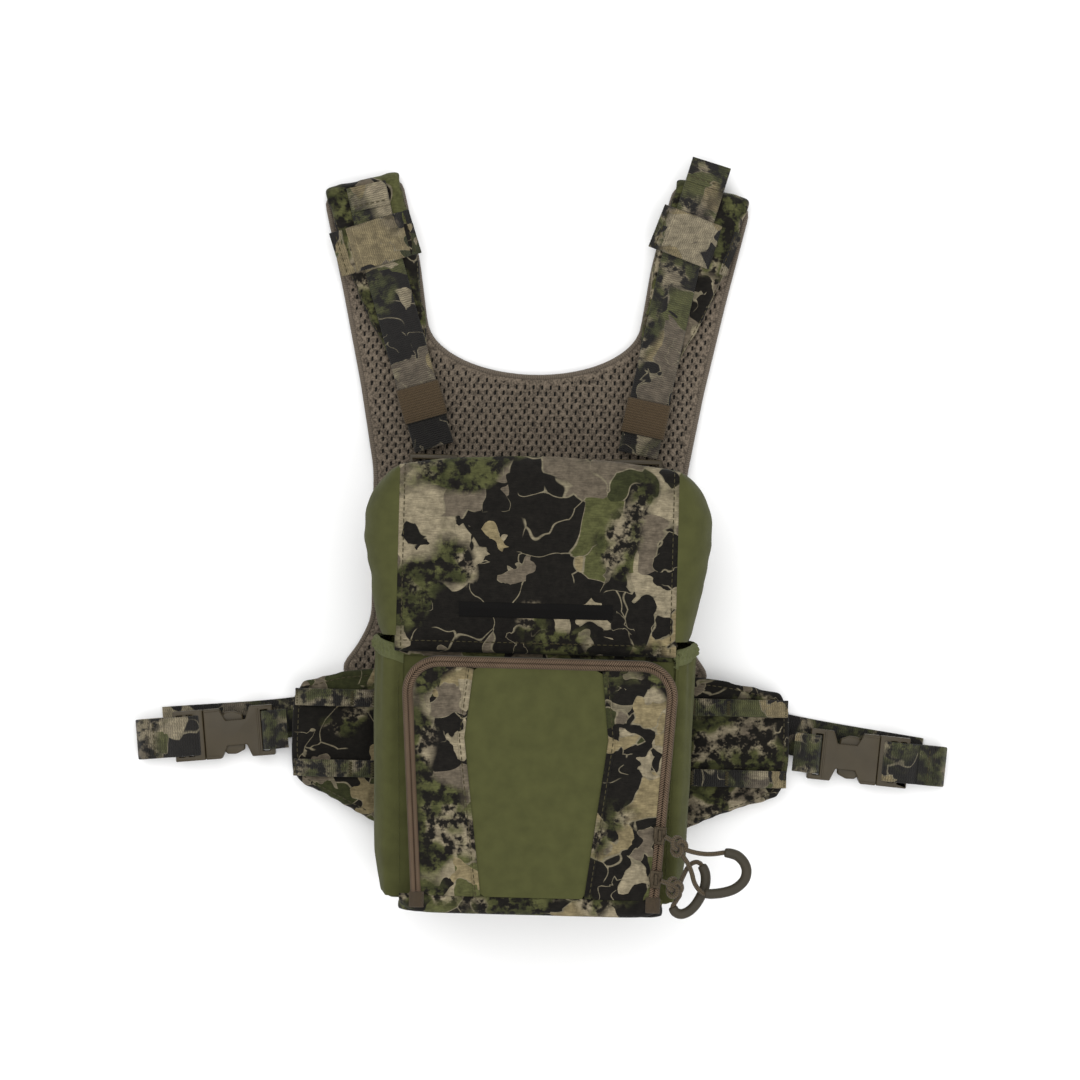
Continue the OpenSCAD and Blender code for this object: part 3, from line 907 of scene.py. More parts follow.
def knitted_mesh():
    """Knitted spacer mesh: lumpy loops on the face with painted shade between them, and painted
    shade, near black, down in the slots.
    """
    if "spacer_mesh_knit" in bpy.data.materials:
        return bpy.data.materials["spacer_mesh_knit"]
    material, tree, shader, where = start_material(
        "spacer_mesh_knit", 0.9, **{"Specular IOR Level": 0.2, "Sheen Weight": 0.1})
    place = printed_place(tree, where)
    loops = add(tree, "ShaderNodeTexVoronoi", {"Vector": place, "Scale": 1 / 1.15})
    loops = loops.outputs["Distance"]
    # the loops' middles are lighter and the gaps between them darker: painted shade
    share = maths(tree, "MULTIPLY_ADD", loops, -0.5, lumps(tree, place, 3.0, 3.0))
    knit = dye("mesh")
    tone = shades(tree, share, (0.02, tinted(knit, 0.4)), (0.45, tinted(knit, 1.4)))
    # painted shade: the pressed-in slots are coloured near black
    deep = add(tree, "ShaderNodeAttribute", attribute_name="slot_depth").outputs["Fac"]
    dark = mixed(tree, spread(tree, deep, 0.42, 0.62), tone, (0.004, 0.004, 0.003, 1))
    surface(tree, shader, dark, loops, 0.6, 0.5, invert=True)
    return material


def moulded_plastic(name, colour, roughness=0.42):
    """Injection-moulded acetal: even colour, a fine spark texture and a satin shine."""
    if name in bpy.data.materials:
        return bpy.data.materials[name]
    material, tree, shader, where = start_material(
        name, roughness, **{"IOR": 1.48, "Specular IOR Level": 0.28})
    place = printed_place(tree, where)
    tone = shades(tree, lumps(tree, place, 14, 3.0), (0.3, tinted(colour, 0.88)),
                  (0.7, tinted(colour, 1.10)))
    surface(tree, shader, tone, lumps(tree, place, 0.5, 2.0), 0.2, 0.1)
    return material


def acetal_hardware():
    """The plastic of the buckles and strap locks."""
    return moulded_plastic("acetal_hardware", dye("plastic"))


def brushed_metal(name, colour, roughness):
    """Plated die-cast metal: dull, with fine scuffs."""
    if name in bpy.data.materials:
        return bpy.data.materials[name]
    material, tree, shader, where = start_material(name, roughness, Metallic=0.85)
    scuff = lumps(tree, printed_place(tree, where), 1.2, 4.0)
    tone = shades(tree, scuff, (0.35, tinted(colour, 0.75)), (0.7, tinted(colour, 1.25)))
    surface(tree, shader, tone, scuff, 0.15, 0.1)
    return material


def braided_cord():
    """Braided nylon cord: crossed yarns, with painted shade between them and a painted highlight on
    their crests.
    """
    if "braided_cord" in bpy.data.materials:
        return bpy.data.materials["braided_cord"]
    material, tree, shader, where = start_material(
        "braided_cord", 0.75, **{"Sheen Weight": 0.1, "Specular IOR Level": 0.3})
    split = add(tree, "ShaderNodeSeparateXYZ", {0: where.outputs["UV"]})
    around = rounds(tree, split.outputs[0], 2.2)
    forward = rounds(tree, split.outputs[1], 2.0)
    one, two = [maths(tree, "SINE", maths(tree, way, around, forward))
                for way in ("ADD", "SUBTRACT")]
    yarn = maths(tree, "MULTIPLY", one, two)
    cord = dye("cord")
    # dark between the yarns and almost twice as bright on their crests: painted shade and painted
    # highlight
    tone = shades(tree, spread(tree, yarn, -1.0, 1.0), (0.0, tinted(cord, 0.55)), (0.6, cord),
                  (1.0, tinted(cord, 1.9)))
    surface(tree, shader, tone, yarn, 0.8, 0.4)
    return material


def floor_paint():
    """Matt white backdrop paint."""
    material, tree, shader, where = start_material("backdrop_paint", 1.0)
    tint = lumps(tree, where.outputs["Object"], 0.5, 2.0)
    tone = shades(tree, tint, (0.0, grey(0.90)), (1.0, grey(0.92)))
    tree.links.new(tone, shader.inputs["Base Color"])
    return material


# ---- places shared by several pieces, in millimetres ----

YOKE_X = -6.0
FOLD_IN, FOLD_OUT = (84.3, 220.7), (132.3, 207.7)
NECK_R, NECK_CENTRE, NECK_LOW = 66.5, 135.0, 100.8
MESH_TOP = room("yoke_mesh")[1][2]
PAD_TOP = room("shoulder_pad_left")[1][2]
STRAP_W, STRAP_T = 24.6, 1.5
TAIL_Z = room("strap_tail_left")[0][2] + STRAP_T / 2
UNDER_Z = room("shoulder_strap_left")[0][2] + STRAP_T / 2
STRAPS = {
    "left": [(-112, 215), (-100, 167), (-65.6, 54.2)],
    "right": [(101, 234), (83, 171), (60, 52.8)],
}
BANDS = {"left": (-105.2, 179.2, 18.5, 2), "right": (92, 186, -20, -4)}
KEEPER_AT = {"left": 29, "right": 23}
BUCKLE_TOP = room("buckle_socket_left")[1][2]
BUCKLES = {"left": (-160.2, -122.3, 6), "right": (170.6, -128.4, 4.5)}
ANCHORS = {
    "left": [(-229, -123), (-150, -115), (-113, -104.6)],
    "right": [(240, -130), (160, -118), (104, -104.6)],
}
SIDES = ("left", "right")

LID_LOW, LID_HIGH = room("lid_panel")
LID_HALF = LID_HIGH[0]
LID_FRONT, LID_TOP = LID_HIGH[2], LID_HIGH[1]
LID_EDGE = LID_LOW[1] - 3.8
LID_ROUND = 6.0

POCKET_X, POCKET_HALF, POCKET_TAPER = 3.5, 81.5, math.radians(3.8)
POCKET_TOP, POCKET_BOTTOM, CORNER_R = -71.5, -216.0, 21.0
POCKET_FACE = room("pocket_gusset")[1][2]
DOOR_LOW = room("door_centre")[0][1] - 3.4
DOOR_TOP = POCKET_TOP - 6.2


def sign(side):
    return -1 if side == "left" else 1


def yoke_outline():
    """The harness yoke around its own centre line, fold to fold."""
    neck = [
        (NECK_R * math.cos(a), NECK_CENTRE + (NECK_CENTRE - NECK_LOW) * math.sin(a))
        for a in np.radians(np.arange(0, -100, -10))
    ]
    half = [(60, -94), (110, -90), (114, -82), (103.5, -68), (96, -52), (97, 40), (106, 91),
            (118, 147), FOLD_OUT, FOLD_IN, (71.7, 170)] + neck
    whole = np.vstack((half, mirrored(half)[1:]))
    return whole + (YOKE_X, 0)


def pocket_line(inset, closed=False):
    """The front pocket's edge, from its lower left corner over the top to its lower right."""
    centre = np.array((POCKET_HALF - CORNER_R, POCKET_TOP - CORNER_R))
    at = np.linspace(-POCKET_TAPER, math.pi / 2, 10)
    bend = centre + (CORNER_R - inset) * np.column_stack((np.cos(at), np.sin(at)))
    low = POCKET_BOTTOM + (inset if closed else 0)
    foot = (bend[0, 0] - math.tan(POCKET_TAPER) * (bend[0, 1] - low), low)
    right = np.vstack((foot, bend))
    line = np.vstack((mirrored(right)[::-1], right[::-1]))
    return line + (POCKET_X, 0)


def in_buckle(side, points):
    """Points from a buckle's own frame (outward, along, up) into the pack's."""
    x, y, lean = BUCKLES[side]
    s = sign(side)
    p = np.array(points, float)
    turn = math.radians(-s * lean)
    u, v = s * p[:, 0], p[:, 1]
    return np.column_stack((
        x + u * math.cos(turn) - v * math.sin(turn),
        y + u * math.sin(turn) + v * math.cos(turn),
        p[:, 2],
    ))


class HarnessOperator(bpy.types.Operator):
    """Base of the pack's operators."""

    bl_options = {"REGISTER", "UNDO"}


# ---- stage ----


class StageOperator(HarnessOperator):
    """Adds the camera, the pale floor and soft studio light."""

    bl_idname = "harness.stage"
    bl_label = "Studio Stage"

    camera_height: bpy.props.FloatProperty(name="Camera height", default=2.511, subtype="DISTANCE")
    lens: bpy.props.FloatProperty(name="Focal length", default=135.0, unit="CAMERA")
    key_power, fill_power, air_light = 46, 34, 0.84

    def execute(self, context):
        deselect_all()
        bpy.ops.object.camera_add(
            location=(0.0011, -0.0012, self.camera_height), rotation=(0, 0, math.radians(1.5))
        )
        camera = context.object
        camera.data.lens = self.lens
        camera.data.sensor_width = 36
        camera.data.clip_end = 20
        context.scene.camera = camera
        bpy.ops.mesh.primitive_plane_add(size=30, location=(0, 0, -0.0006))
        floor = context.object
        floor.name = "backdrop_floor"
        floor.data.materials.append(floor_paint())
        for name, place, power, size in (
            ("key_light", (-0.6, 0.9, 2.8), self.key_power, 2.6),
            ("fill_light", (1.1, -1.4, 2.3), self.fill_power, 2.4),
        ):
            aim = Vector(place).to_track_quat("Z", "Y").to_euler()
            bpy.ops.object.light_add(type="AREA", location=place, rotation=aim)
            light = context.object
            light.name = name
            light.data.energy = power
            light.data.size = size
        world = bpy.data.worlds.new("studio_air")
        world.use_nodes = True
        air = world.node_tree.nodes["Background"].inputs
        air[0].default_value = grey(1.0)
        air[1].default_value = self.air_light
        context.scene.world = world
        context.scene.view_settings.view_transform = "Standard"
        return {"FINISHED"}


# ---- zipper pulls ----

PULLS = {
    "upper": {
        "out": [(79.6, -174.6, 118.6), (84, -177, 119.4), (90, -181, 119.4), (96, -183, 119),
                (102, -184, 118.6), (108, -184, 118.4), (114.5, -183, 118.2)],
        "sleeve": [(115, -183, 118.2), (119, -183.5, 118), (123, -185, 118), (126.5, -188.5, 118),
                   (128.2, -193, 118), (127.5, -198, 118), (124.5, -202, 118), (120, -205, 118),
                   (114, -206.8, 118), (108, -207.6, 118), (104, -207.6, 118)],
        "back": [(102.9, -207.3, 118), (100, -205, 118), (97.5, -201, 118), (96, -196, 118.2),
                 (94, -191, 118.6), (91, -186.5, 119), (88.6, -183.6, 119.2)],
        "knot": (87.6, -180, 119.3),
        "length": 0.117,
    },
    "lower": {
        "out": [(77.9, -200.8, 118.6), (82.5, -202.2, 119), (87, -204.6, 117.6),
                (89.3, -208.4, 115.2), (87.7, -211.9, 113.3), (86.3, -214.4, 112.5)],
        "sleeve": [(85.3, -216.4, 112), (87, -219.4, 111.5), (90.6, -220.6, 111),
                   (94.8, -219, 110.5), (98.5, -215.5, 110), (101.3, -211, 109.7),
                   (103.6, -206, 109.5), (104.6, -200.5, 109.4), (104, -195.5, 109.5),
                   (102, -191.5, 109.8)],
        "back": [(100.5, -190.1, 110), (98.5, -189.6, 110.4), (95.6, -190.8, 111),
                 (93, -194, 112), (91, -198, 113.6), (89.4, -201.6, 114.8)],
        "knot": (85.8, -204.6, 116.9),
        "length": 0.089,
    },
}
CORD_D, SLEEVE_D = 2.8, 6.0
KNOT_SIZE, KNOT_STRETCH = 1.5, 1.25


class PullsOperator(HarnessOperator):
    """Adds each zipper pull: one braided cord that runs through a soft sleeve, and its knot."""

    bl_idname = "harness.pulls"
    bl_label = "Zipper Pulls"

    def execute(self, context):
        for which, route in PULLS.items():
            self.make_pull(which, route)
        return {"FINISHED"}

    def make_pull(self, which, route):
        body = "pull_" + which
        line = smooth_route(route["out"] + route["sleeve"] + route["back"], 1.0)
        cord = sweep("pull_cord_braid_" + which, line, round_profile(CORD_D))
        finish_piece(cord, braided_cord(), body, ["pull_cord_" + which])

        tube = smooth_route(route["sleeve"], 1.2)
        share = np.linspace(0, 1, len(tube))
        wall = sweep("pull_sleeve_" + which, tube, round_profile(SLEEVE_D, 16))
        points = vertices(wall)
        near = np.argmin(((points[:, None, :] - tube[None]) ** 2).sum(2), axis=1)
        ends = np.minimum(share[near], 1 - share[near])
        # the sleeve grips the cord at both ends
        shrink = 1 - 0.16 * np.exp(-ends / 0.03)
        move_vertices(wall, tube[near] + (points - tube[near]) * shrink[:, None])
        soften_edges(wall, 0.5, 2, 50)
        finish_piece(wall, moulded_plastic("pull_sleeve_rubber", dye("sleeve"), 0.6), body,
                     ["pull_tube_" + which])

        knot = self.make_knot(which, route)
        finish_piece(knot, braided_cord(), body)
        np.array(route["out"][0]) * MM

    def make_knot(self, which, route):
        """The pull's overhand knot, drawn tight around both ends of the cord."""
        at = np.linspace(0, 2 * math.pi, 60, endpoint=False)
        loop = np.column_stack((
            (2 + np.cos(3 * at)) * np.cos(2 * at),
            (2 + np.cos(3 * at)) * np.sin(2 * at),
            1.25 * np.sin(3 * at),
        )) * KNOT_SIZE
        loop[:, 1] *= KNOT_STRETCH
        return sweep("pull_knot_" + which, loop + route["knot"], round_profile(CORD_D, 8),
                     closed=True)


# ---- yoke ----


SLOT_DEPTH, KNIT_RIDGE = 1.5, 0.12
PLAIN_RIM = 6


def slotted(obj, outward, rim):
    """Presses the staggered slots of spacer mesh into a fine grid, and marks how deep they are."""
    size = sizes()
    p = vertices(obj)
    columns = np.rint(p[:, 0] / (size.slot_across / 4)).astype(int)
    rows = np.rint(p[:, 1] / (size.slot_along / 4)).astype(int)
    course = rows // 4
    slot = ((columns + 2 * (course % 2)) % 4 == 0) & (rows % 4 != 0) & rim
    p[slot, 2] -= outward * SLOT_DEPTH
    ridge = ((columns + 2 * (course % 2)) % 4 == 2) & rim
    p[ridge, 2] += outward * KNIT_RIDGE
    move_vertices(obj, p)
    mark = obj.data.attributes.new("slot_depth", "FLOAT", "POINT")
    mark.data.foreach_set("value", slot.astype(np.float32))


def mesh_sheet(name, outline, height, outward):
    """A sheet of slotted spacer mesh, on a grid that its slots fall into."""
    size = sizes()
    pitch = np.array((size.slot_across / 4, size.slot_along / 4))
    outline = np.asarray(outline, float)
    low = np.floor(outline.min(0) / pitch) * pitch
    obj = cut_cloth(name, outline, pitch, height, start=low)
    depth = depth_inside(vertices(obj)[:, :2], outline)[0]
    slotted(obj, outward, depth > PLAIN_RIM)
    return obj


class YokeOperator(HarnessOperator):
    """Adds the yoke: slotted spacer mesh in front, printed cloth behind, and a bound edge."""

    bl_idname = "harness.yoke"
    bl_label = "Yoke"

    def execute(self, context):
        outline = even_route(rounded(yoke_outline(), 7), 4, closed=True)
        face = mesh_sheet("yoke_spacer_mesh", outline, self.front_height, 1)
        back_with_cloth(face, 2.2)
        finish_piece(face, knitted_mesh(), "pack", ["yoke_mesh"], angle=60)

        cover = cut_cloth("yoke_back_cloth", outline, (6, 6), self.back_height)
        back_with_cloth(cover, 2.0)
        finish_piece(cover, camo_fabric("yoke", (140, 35, 0)), "pack",
                     ["yoke_cover"])

        edge = drawn_in(even_route(outline, 3, closed=True), 1.7)
        rim = sweep("yoke_edge_binding", at_height(edge, 3.5), oval_profile(3.4, 5.6, 3, 14), True)
        finish_piece(rim, woven_strap("binding", plain=dye("mesh")), "pack")
        return {"FINISHED"}

    @staticmethod
    def front_height(x, y, depth):
        return MESH_TOP - 0.3 - 2.2 * np.exp(-depth / 2.5)

    @staticmethod
    def back_height(x, y, depth):
        soft = ripple(x, y, 0, 34, 3)
        return 0.35 + 0.3 * soft * np.minimum(depth / 10, 1)


# ---- shoulder pads and their straps ----


class ShouldersOperator(HarnessOperator):
    """Adds the folded shoulder pads, swollen by air pressure, with topstitched edges."""

    bl_idname = "harness.shoulders"
    bl_label = "Shoulder Pads"

    reach = 2.0
    upper_side = 11

    def execute(self, context):
        for side, shift in (("left", (10, 60, 0)), ("right", (300, -40, 0))):
            pad = copy_of("shoulder_pad_" + side, "shoulder_pad_cloth_" + side)
            swell(pad, self.reach)
            p = vertices(pad)
            strap = smooth_route(at_height(STRAPS[side], TAIL_Z), 4)
            away = np.linalg.norm(p[:, None, :2] - strap[None, :, :2], axis=2).min(1)
            # the strap holds the pad down, and beside it the pad stands up
            free = np.clip((away - 13) / 6, 0, 1)
            p[:, 2] = np.clip(p[:, 2], 0.2, PAD_TOP - 0.1 + free * 1.6)
            folds = ripple(*(p * (1, 0.45, 0.2)).T, 16, 5)
            p[:, 2] += np.where(p[:, 2] > self.upper_side, 0.5 * folds * free, 0)
            move_vertices(pad, p)
            finish_piece(pad, camo_fabric("shoulder_" + side, shift), "pack",
                         ["shoulder_pad_" + side])
            self.topstitch(pad, side)
        return {"FINISHED"}

    def topstitch(self, pad, side):
        """Two rows along the pad's long edges."""
        s = sign(side)
        rows = []
        for run in ([(129, 203), (121.5, 186), (113.8, 161), (98.5, 129), (90, 114)],
                    [(84.8, 214), (81.8, 204), (75, 185), (72, 155), (68.6, 134), (66.5, 116)]):
            line = smooth_route([(YOKE_X + s * x, y, 0) for x, y in run], 3)
            spots, facing = drop_on(pad, line)
            rows.append(stitch_row("row", spots, facing))
        sew("shoulder_stitching_" + side, rows, "pack")


class StrapsOperator(HarnessOperator):
    """Adds the harness webbing, its elastic bands and keepers, and the locks that hold it."""

    bl_idname = "harness.straps"
    bl_label = "Shoulder Straps"

    under_end = 102
    band_width, band_thickness = 28, 1.1
    keeper_width, keeper_thickness = 22.0, 1.1

    def execute(self, context):
        for side in SIDES:
            self.strap(side)
            self.band(side)
            self.keeper(side)
        self.locks()
        return {"FINISHED"}

    def strap(self, side):
        shift = (220, 15, 0) if side == "left" else (35, 410, 0)
        cloth = woven_strap("shoulder_" + side, shift, 30 * sign(side))
        route = even_route(at_height(STRAPS[side], TAIL_Z), 3)
        flat = (STRAP_W, STRAP_T)
        lay_strap("strap_tail_webbing_" + side, route, flat, cloth, "pack", "strap_tail_" + side)

        start = route[0] + (0, 0, STRAP_T - 0.1)
        end = route[5] + (0, 0, STRAP_T - 0.2)
        lay_strap("strap_hem_" + side, even_route([start, end], 2), (STRAP_W, 1.3), cloth, "pack")
        across = unit(np.cross(UP, end - start)) * (STRAP_W / 2 - 2)
        middle = start + (end - start) * 0.8 + (0, 0, 0.7)
        row = stitch_row("row", [middle - across, middle + across], UP)
        sew("strap_hem_stitching_" + side, [row], "pack")

        knee, low = np.array(STRAPS[side][1]), np.array(STRAPS[side][2])
        top = knee + (low - knee) * (knee[1] - self.under_end) / (knee[1] - low[1])
        lay_strap("strap_under_" + side, even_route(at_height([top, low], UNDER_Z), 3), flat,
                  cloth, "pack", "shoulder_strap_" + side)

    def band(self, side):
        x, y, lean, off = BANDS[side]
        low = PAD_TOP + 0.65
        high = TAIL_Z + STRAP_T / 2 + 0.75
        line = [(-25.5, low - 0.4), (-23, low), (off - 17.5, low), (off - 15, high - 0.3),
                (off - 12, high + 0.2), (off, high + 0.5), (off + 12, high + 0.2),
                (off + 15, high - 0.3), (off + 17.5, low), (23, low), (25.5, low - 0.4)]
        turn = math.radians(lean)
        route = smooth_route(
            [(x + u * math.cos(turn), y + u * math.sin(turn), z) for u, z in line], 1.5)
        shift = (430, 178, 77) if side == "left" else (-70, 214, 77)
        band = sweep("tail_band_elastic_" + side, route,
                     webbing_profile(self.band_width, self.band_thickness))
        finish_piece(band, woven_strap("band_" + side, shift, pitch=1.1), "pack",
                     ["tail_band_" + side])
        along = np.array((math.cos(turn), math.sin(turn), 0))
        across = np.array((-along[1], along[0], 0)) * 12.5
        ends = [np.array((x, y, low + 0.6)) + along * end for end in (-22, 22)]
        rows = [stitch_row("row", [middle - across, middle + across], UP) for middle in ends]
        sew("tail_band_stitching_" + side, rows, "pack")

    def keeper(self, side):
        low, knee = np.array(STRAPS[side][2]), np.array(STRAPS[side][1])
        along = unit(knee - low)
        middle = low + along * KEEPER_AT[side]
        across = np.array((along[1], -along[0]))
        bottom, top = UNDER_Z - STRAP_T / 2 - 0.9, TAIL_Z + STRAP_T / 2 + 0.9
        half = STRAP_W / 2 + 0.9
        ring = rounded([(-half, bottom), (half, bottom), (half, top), (-half, top)], 1.6, 5)
        route = [(*(middle + across * u), z) for u, z in even_route(ring, 1.0, closed=True)]
        ring = self.ring_sweep("keeper_elastic_" + side, np.array(route), along)
        finish_piece(ring, woven_strap("keeper", plain=dye("elastic"), pitch=0.9, across=True,
                                       depth=0.12),
                     "keeper_ring_" + side, ["keeper_" + side])

    def ring_sweep(self, name, route, along):
        """A wide elastic ring around the strap, its width lying along the strap."""
        forward = np.array((*along, 0.0))
        ahead = np.roll(route, -1, axis=0) - np.roll(route, 1, axis=0)
        out = np.cross(ahead, forward)
        out /= np.linalg.norm(out, axis=1, keepdims=True)
        profile = webbing_profile(self.keeper_width, self.keeper_thickness)
        rings = (route[:, None] + profile[None, :, :1] * forward
                 + profile[None, :, 1:2] * out[:, None, :])
        return skin(name, rings, 2 * self.keeper_width, len(route), True)

    def locks(self):
        tabs = []
        for side in SIDES:
            node = "ladder_lock_" + side
            lock = copy_of(node, "strap_lock_" + side)
            soften_edges(lock, 0.8, 3)
            p = vertices(lock)
            middle = (p[:, 0].max() + p[:, 0].min()) / 2
            p[:, 2] += 1.2 * (1 - ((p[:, 0] - middle) / 15) ** 2) * (p[:, 1] > 40)
            move_vertices(lock, p)
            finish_piece(lock, acetal_hardware(), "pack", [node])
            x = STRAPS[side][2][0]
            route = even_route([(x, 30.2, UNDER_Z), (x, 31.8, UNDER_Z)], 0.5)
            tabs.append(sweep("tab", route, webbing_profile(24, STRAP_T)))
        tab = join_pieces("lock_tab_webbing", tabs)
        finish_piece(tab, woven_strap("tabs", (10, 10, 0)), "pack", ["lock_tabs"])


# ---- wings and side straps ----


def wing_outline(side, e):
    """The wing's cut, from the pack's side out to its rounded tip at a distance e."""
    cut = [(84.6, -183), (94, -180), (e - 22, -163), (e - 8, -156.5), (e - 2, -148), (e, -135),
           (e - 0.5, -103), (e - 7, -91), (120, -84), (84.6, -80.5)]
    return np.array([(sign(side) * x, y) for x, y in cut])


class WingsOperator(HarnessOperator):
    """Adds the padded wings, swollen by air pressure under two rows of tacked webbing."""

    bl_idname = "harness.wings"
    bl_label = "Wings"

    reach = 2.6
    rows = (-101.5, -145)
    row_width = 10.6
    tips = {"left": 150.5, "right": 160.0}

    def execute(self, context):
        for side, shift in (("left", (33, 12, 0)), ("right", (515, 222, 0))):
            wing = copy_of("wing_" + side, "wing_cloth_" + side)
            swell(wing, self.reach)
            p = vertices(wing)
            off_row = np.min([np.abs(p[:, 1] - y) for y in self.rows], axis=0) - self.row_width / 2
            outside = np.clip((np.abs(p[:, 0]) - 97) / 4, 0, 1)
            room_above = np.clip(off_row / 7, 0, 1) * outside
            p[:, 2] = np.clip(p[:, 2], 2.4, 13.9 + 2.3 * room_above)
            p[:, 2] += np.where(p[:, 2] > 9, 0.5 * ripple(*p.T, 20, 8) * room_above, 0)
            move_vertices(wing, p)
            finish_piece(wing, camo_fabric("wing_" + side, shift), "pack",
                         ["wing_" + side])
            line = even_route(rounded(wing_outline(side, self.tips[side]), 6), 3, closed=True)
            line = drawn_in(line, 5.2)
            spots, facing = drop_on(wing, line[np.abs(line[:, 0]) > 100])
            sew("wing_stitching_" + side, [stitch_row("row", spots, facing)], "pack")
            self.webbing(side, shift)
        return {"FINISHED"}

    def webbing(self, side, shift):
        s = sign(side)
        end = self.tips[side] - 1
        tacks = (98.5, 112.0, end - 2.5) if side == "left" else (98.5, 120.0, end - 2.5)
        rows, bars = [], []
        level = room("wing_webbing_" + side)[0][2] + 0.7
        for y in self.rows:
            points = []
            for a, b in zip(tacks, tacks[1:]):
                for share in (0, 0.15, 0.5, 0.85):
                    rise = 2.4 * math.sin(math.pi * share) ** 0.7 * (b - a) / 40
                    points.append((s * (a + (b - a) * share), y, level + rise))
            points.append((s * tacks[-1], y, level))
            rows.append(sweep("row", smooth_route(points, 1.5),
                              webbing_profile(self.row_width, 1.3)))
            for x in (*tacks[:-1], tacks[-1] - 1.8):
                for turn in np.arange(-4.2, 4.3, 0.8):
                    centre = np.array((s * x, y + turn, level + 0.85))
                    bars.append((centre, (1, 0.25 if len(bars) % 2 else -0.25, 0)))
        webbing = join_pieces("wing_row_webbing_" + side, rows)
        finish_piece(webbing, woven_strap("rows_" + side, (shift[0] + 150, 90, 0), pitch=1.2),
                     "pack", ["wing_webbing_" + side])
        centres, along = map(np.array, zip(*bars))
        tack = repeat("wing_bartacks_" + side, thread_shape(), centres, along.astype(float),
                      np.broadcast_to(UP, along.shape), (0.75, 2.6, 0.7))
        finish_piece(tack, sewing_thread(), "pack")


class BucklesOperator(HarnessOperator):
    """Adds the side-release buckles, the straps they join, and the straps sewn to the yoke."""

    bl_idname = "harness.buckles"
    bl_label = "Side Buckles and Straps"

    fold_u = 80.5

    def execute(self, context):
        for side in SIDES:
            self.socket(side)
            self.plug(side)
            self.straps(side)
        return {"FINISHED"}

    def socket(self, side):
        mould("buckle_socket_moulding_" + side, "buckle_socket_" + side, "pack", 1.0, 4)
        rims = []
        for start, end, width, height in (((33.5, -14.2), (41.8, -14.2), 1.0, 0.7),
                                          ((33.5, 14.2), (41.8, 14.2), 1.0, 0.7),
                                          ((9.2, -14), (9.2, 14), 1.2, 0.8)):
            line = even_route(in_buckle(side, at_height([start, end], 13.7)), 1.5)
            rims.append(sweep("rim", line, oval_profile(width, height, 2, 8)))
        rim = join_pieces("buckle_socket_ribs_" + side, rims)
        finish_piece(rim, acetal_hardware(), "pack")

    def plug(self, side):
        body = "buckle_half_" + side
        mould("buckle_plug_moulding_" + side, "buckle_plug_" + side, body, 0.7, 3)
        arms = mould("latch_arms_moulding_" + side, "latch_arms_" + side, body, 1.3, 4, 20)
        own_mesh(arms)

    def straps(self, side):
        shift = (75, 330, 0) if side == "left" else (480, 120, 0)
        cloth = woven_strap("side_" + side, shift, pitch=1.2)
        body = "buckle_half_" + side
        low, high = 2.45, 10.25
        r = (high - low) / 2
        bend = [(self.fold_u + r * math.cos(a), 0, low + r + r * math.sin(a))
                for a in np.radians(np.arange(-80, 81, 16))]
        over = BUCKLE_TOP + 0.4
        run = ([(38, 0, low), (50, 0, low - 0.2), (66, 0, low + 0.1), (76, 0, low)] + bend
               + [(76, 0, high), (68.5, 0, high + 0.4), (63, 0, over - 0.8), (58.5, 0, over),
                  (52, 0, over + 0.1), (47.2, 0, over - 0.2), (45.4, 0, over - 2.6)])
        lay_strap("side_strap_webbing_" + side, smooth_route(in_buckle(side, run), 2),
                  (STRAP_W, 1.4), cloth, body, "side_strap_" + side)
        run = [(67.8, 0, high + 1.9), (70, 0, high + 1.6), (77, 0, high + 1.3)]
        lay_strap("side_strap_hem_" + side, smooth_route(in_buckle(side, run), 2),
                  (STRAP_W, 1.3), cloth, body)
        line = in_buckle(side, [(74, -10.5, high + 2.2), (74, 10.5, high + 2.2)])
        row = stitch_row("row", line, UP)
        sew("side_strap_stitching_" + side, [row], body)

        lay_strap("anchor_webbing_" + side, smooth_route(at_height(ANCHORS[side], 0.95), 3),
                  (STRAP_W, 1.3), cloth, "pack", "anchor_strap_" + side)

        reach = -8.2 if side == "left" else -9.4
        run = in_buckle(side, [(reach, 0, 9.6), (-4, 0, 11.2), (-0.6, 0, over + 0.1),
                               (3.2, 0, over + 0.3), (5.6, 0, over - 0.4), (6.6, 0, over - 3)])
        lay_strap("wing_strap_webbing_" + side, smooth_route(run, 1.5), (24, 1.4), cloth,
                  "pack", "wing_strap_" + side)


# ---- pack body ----


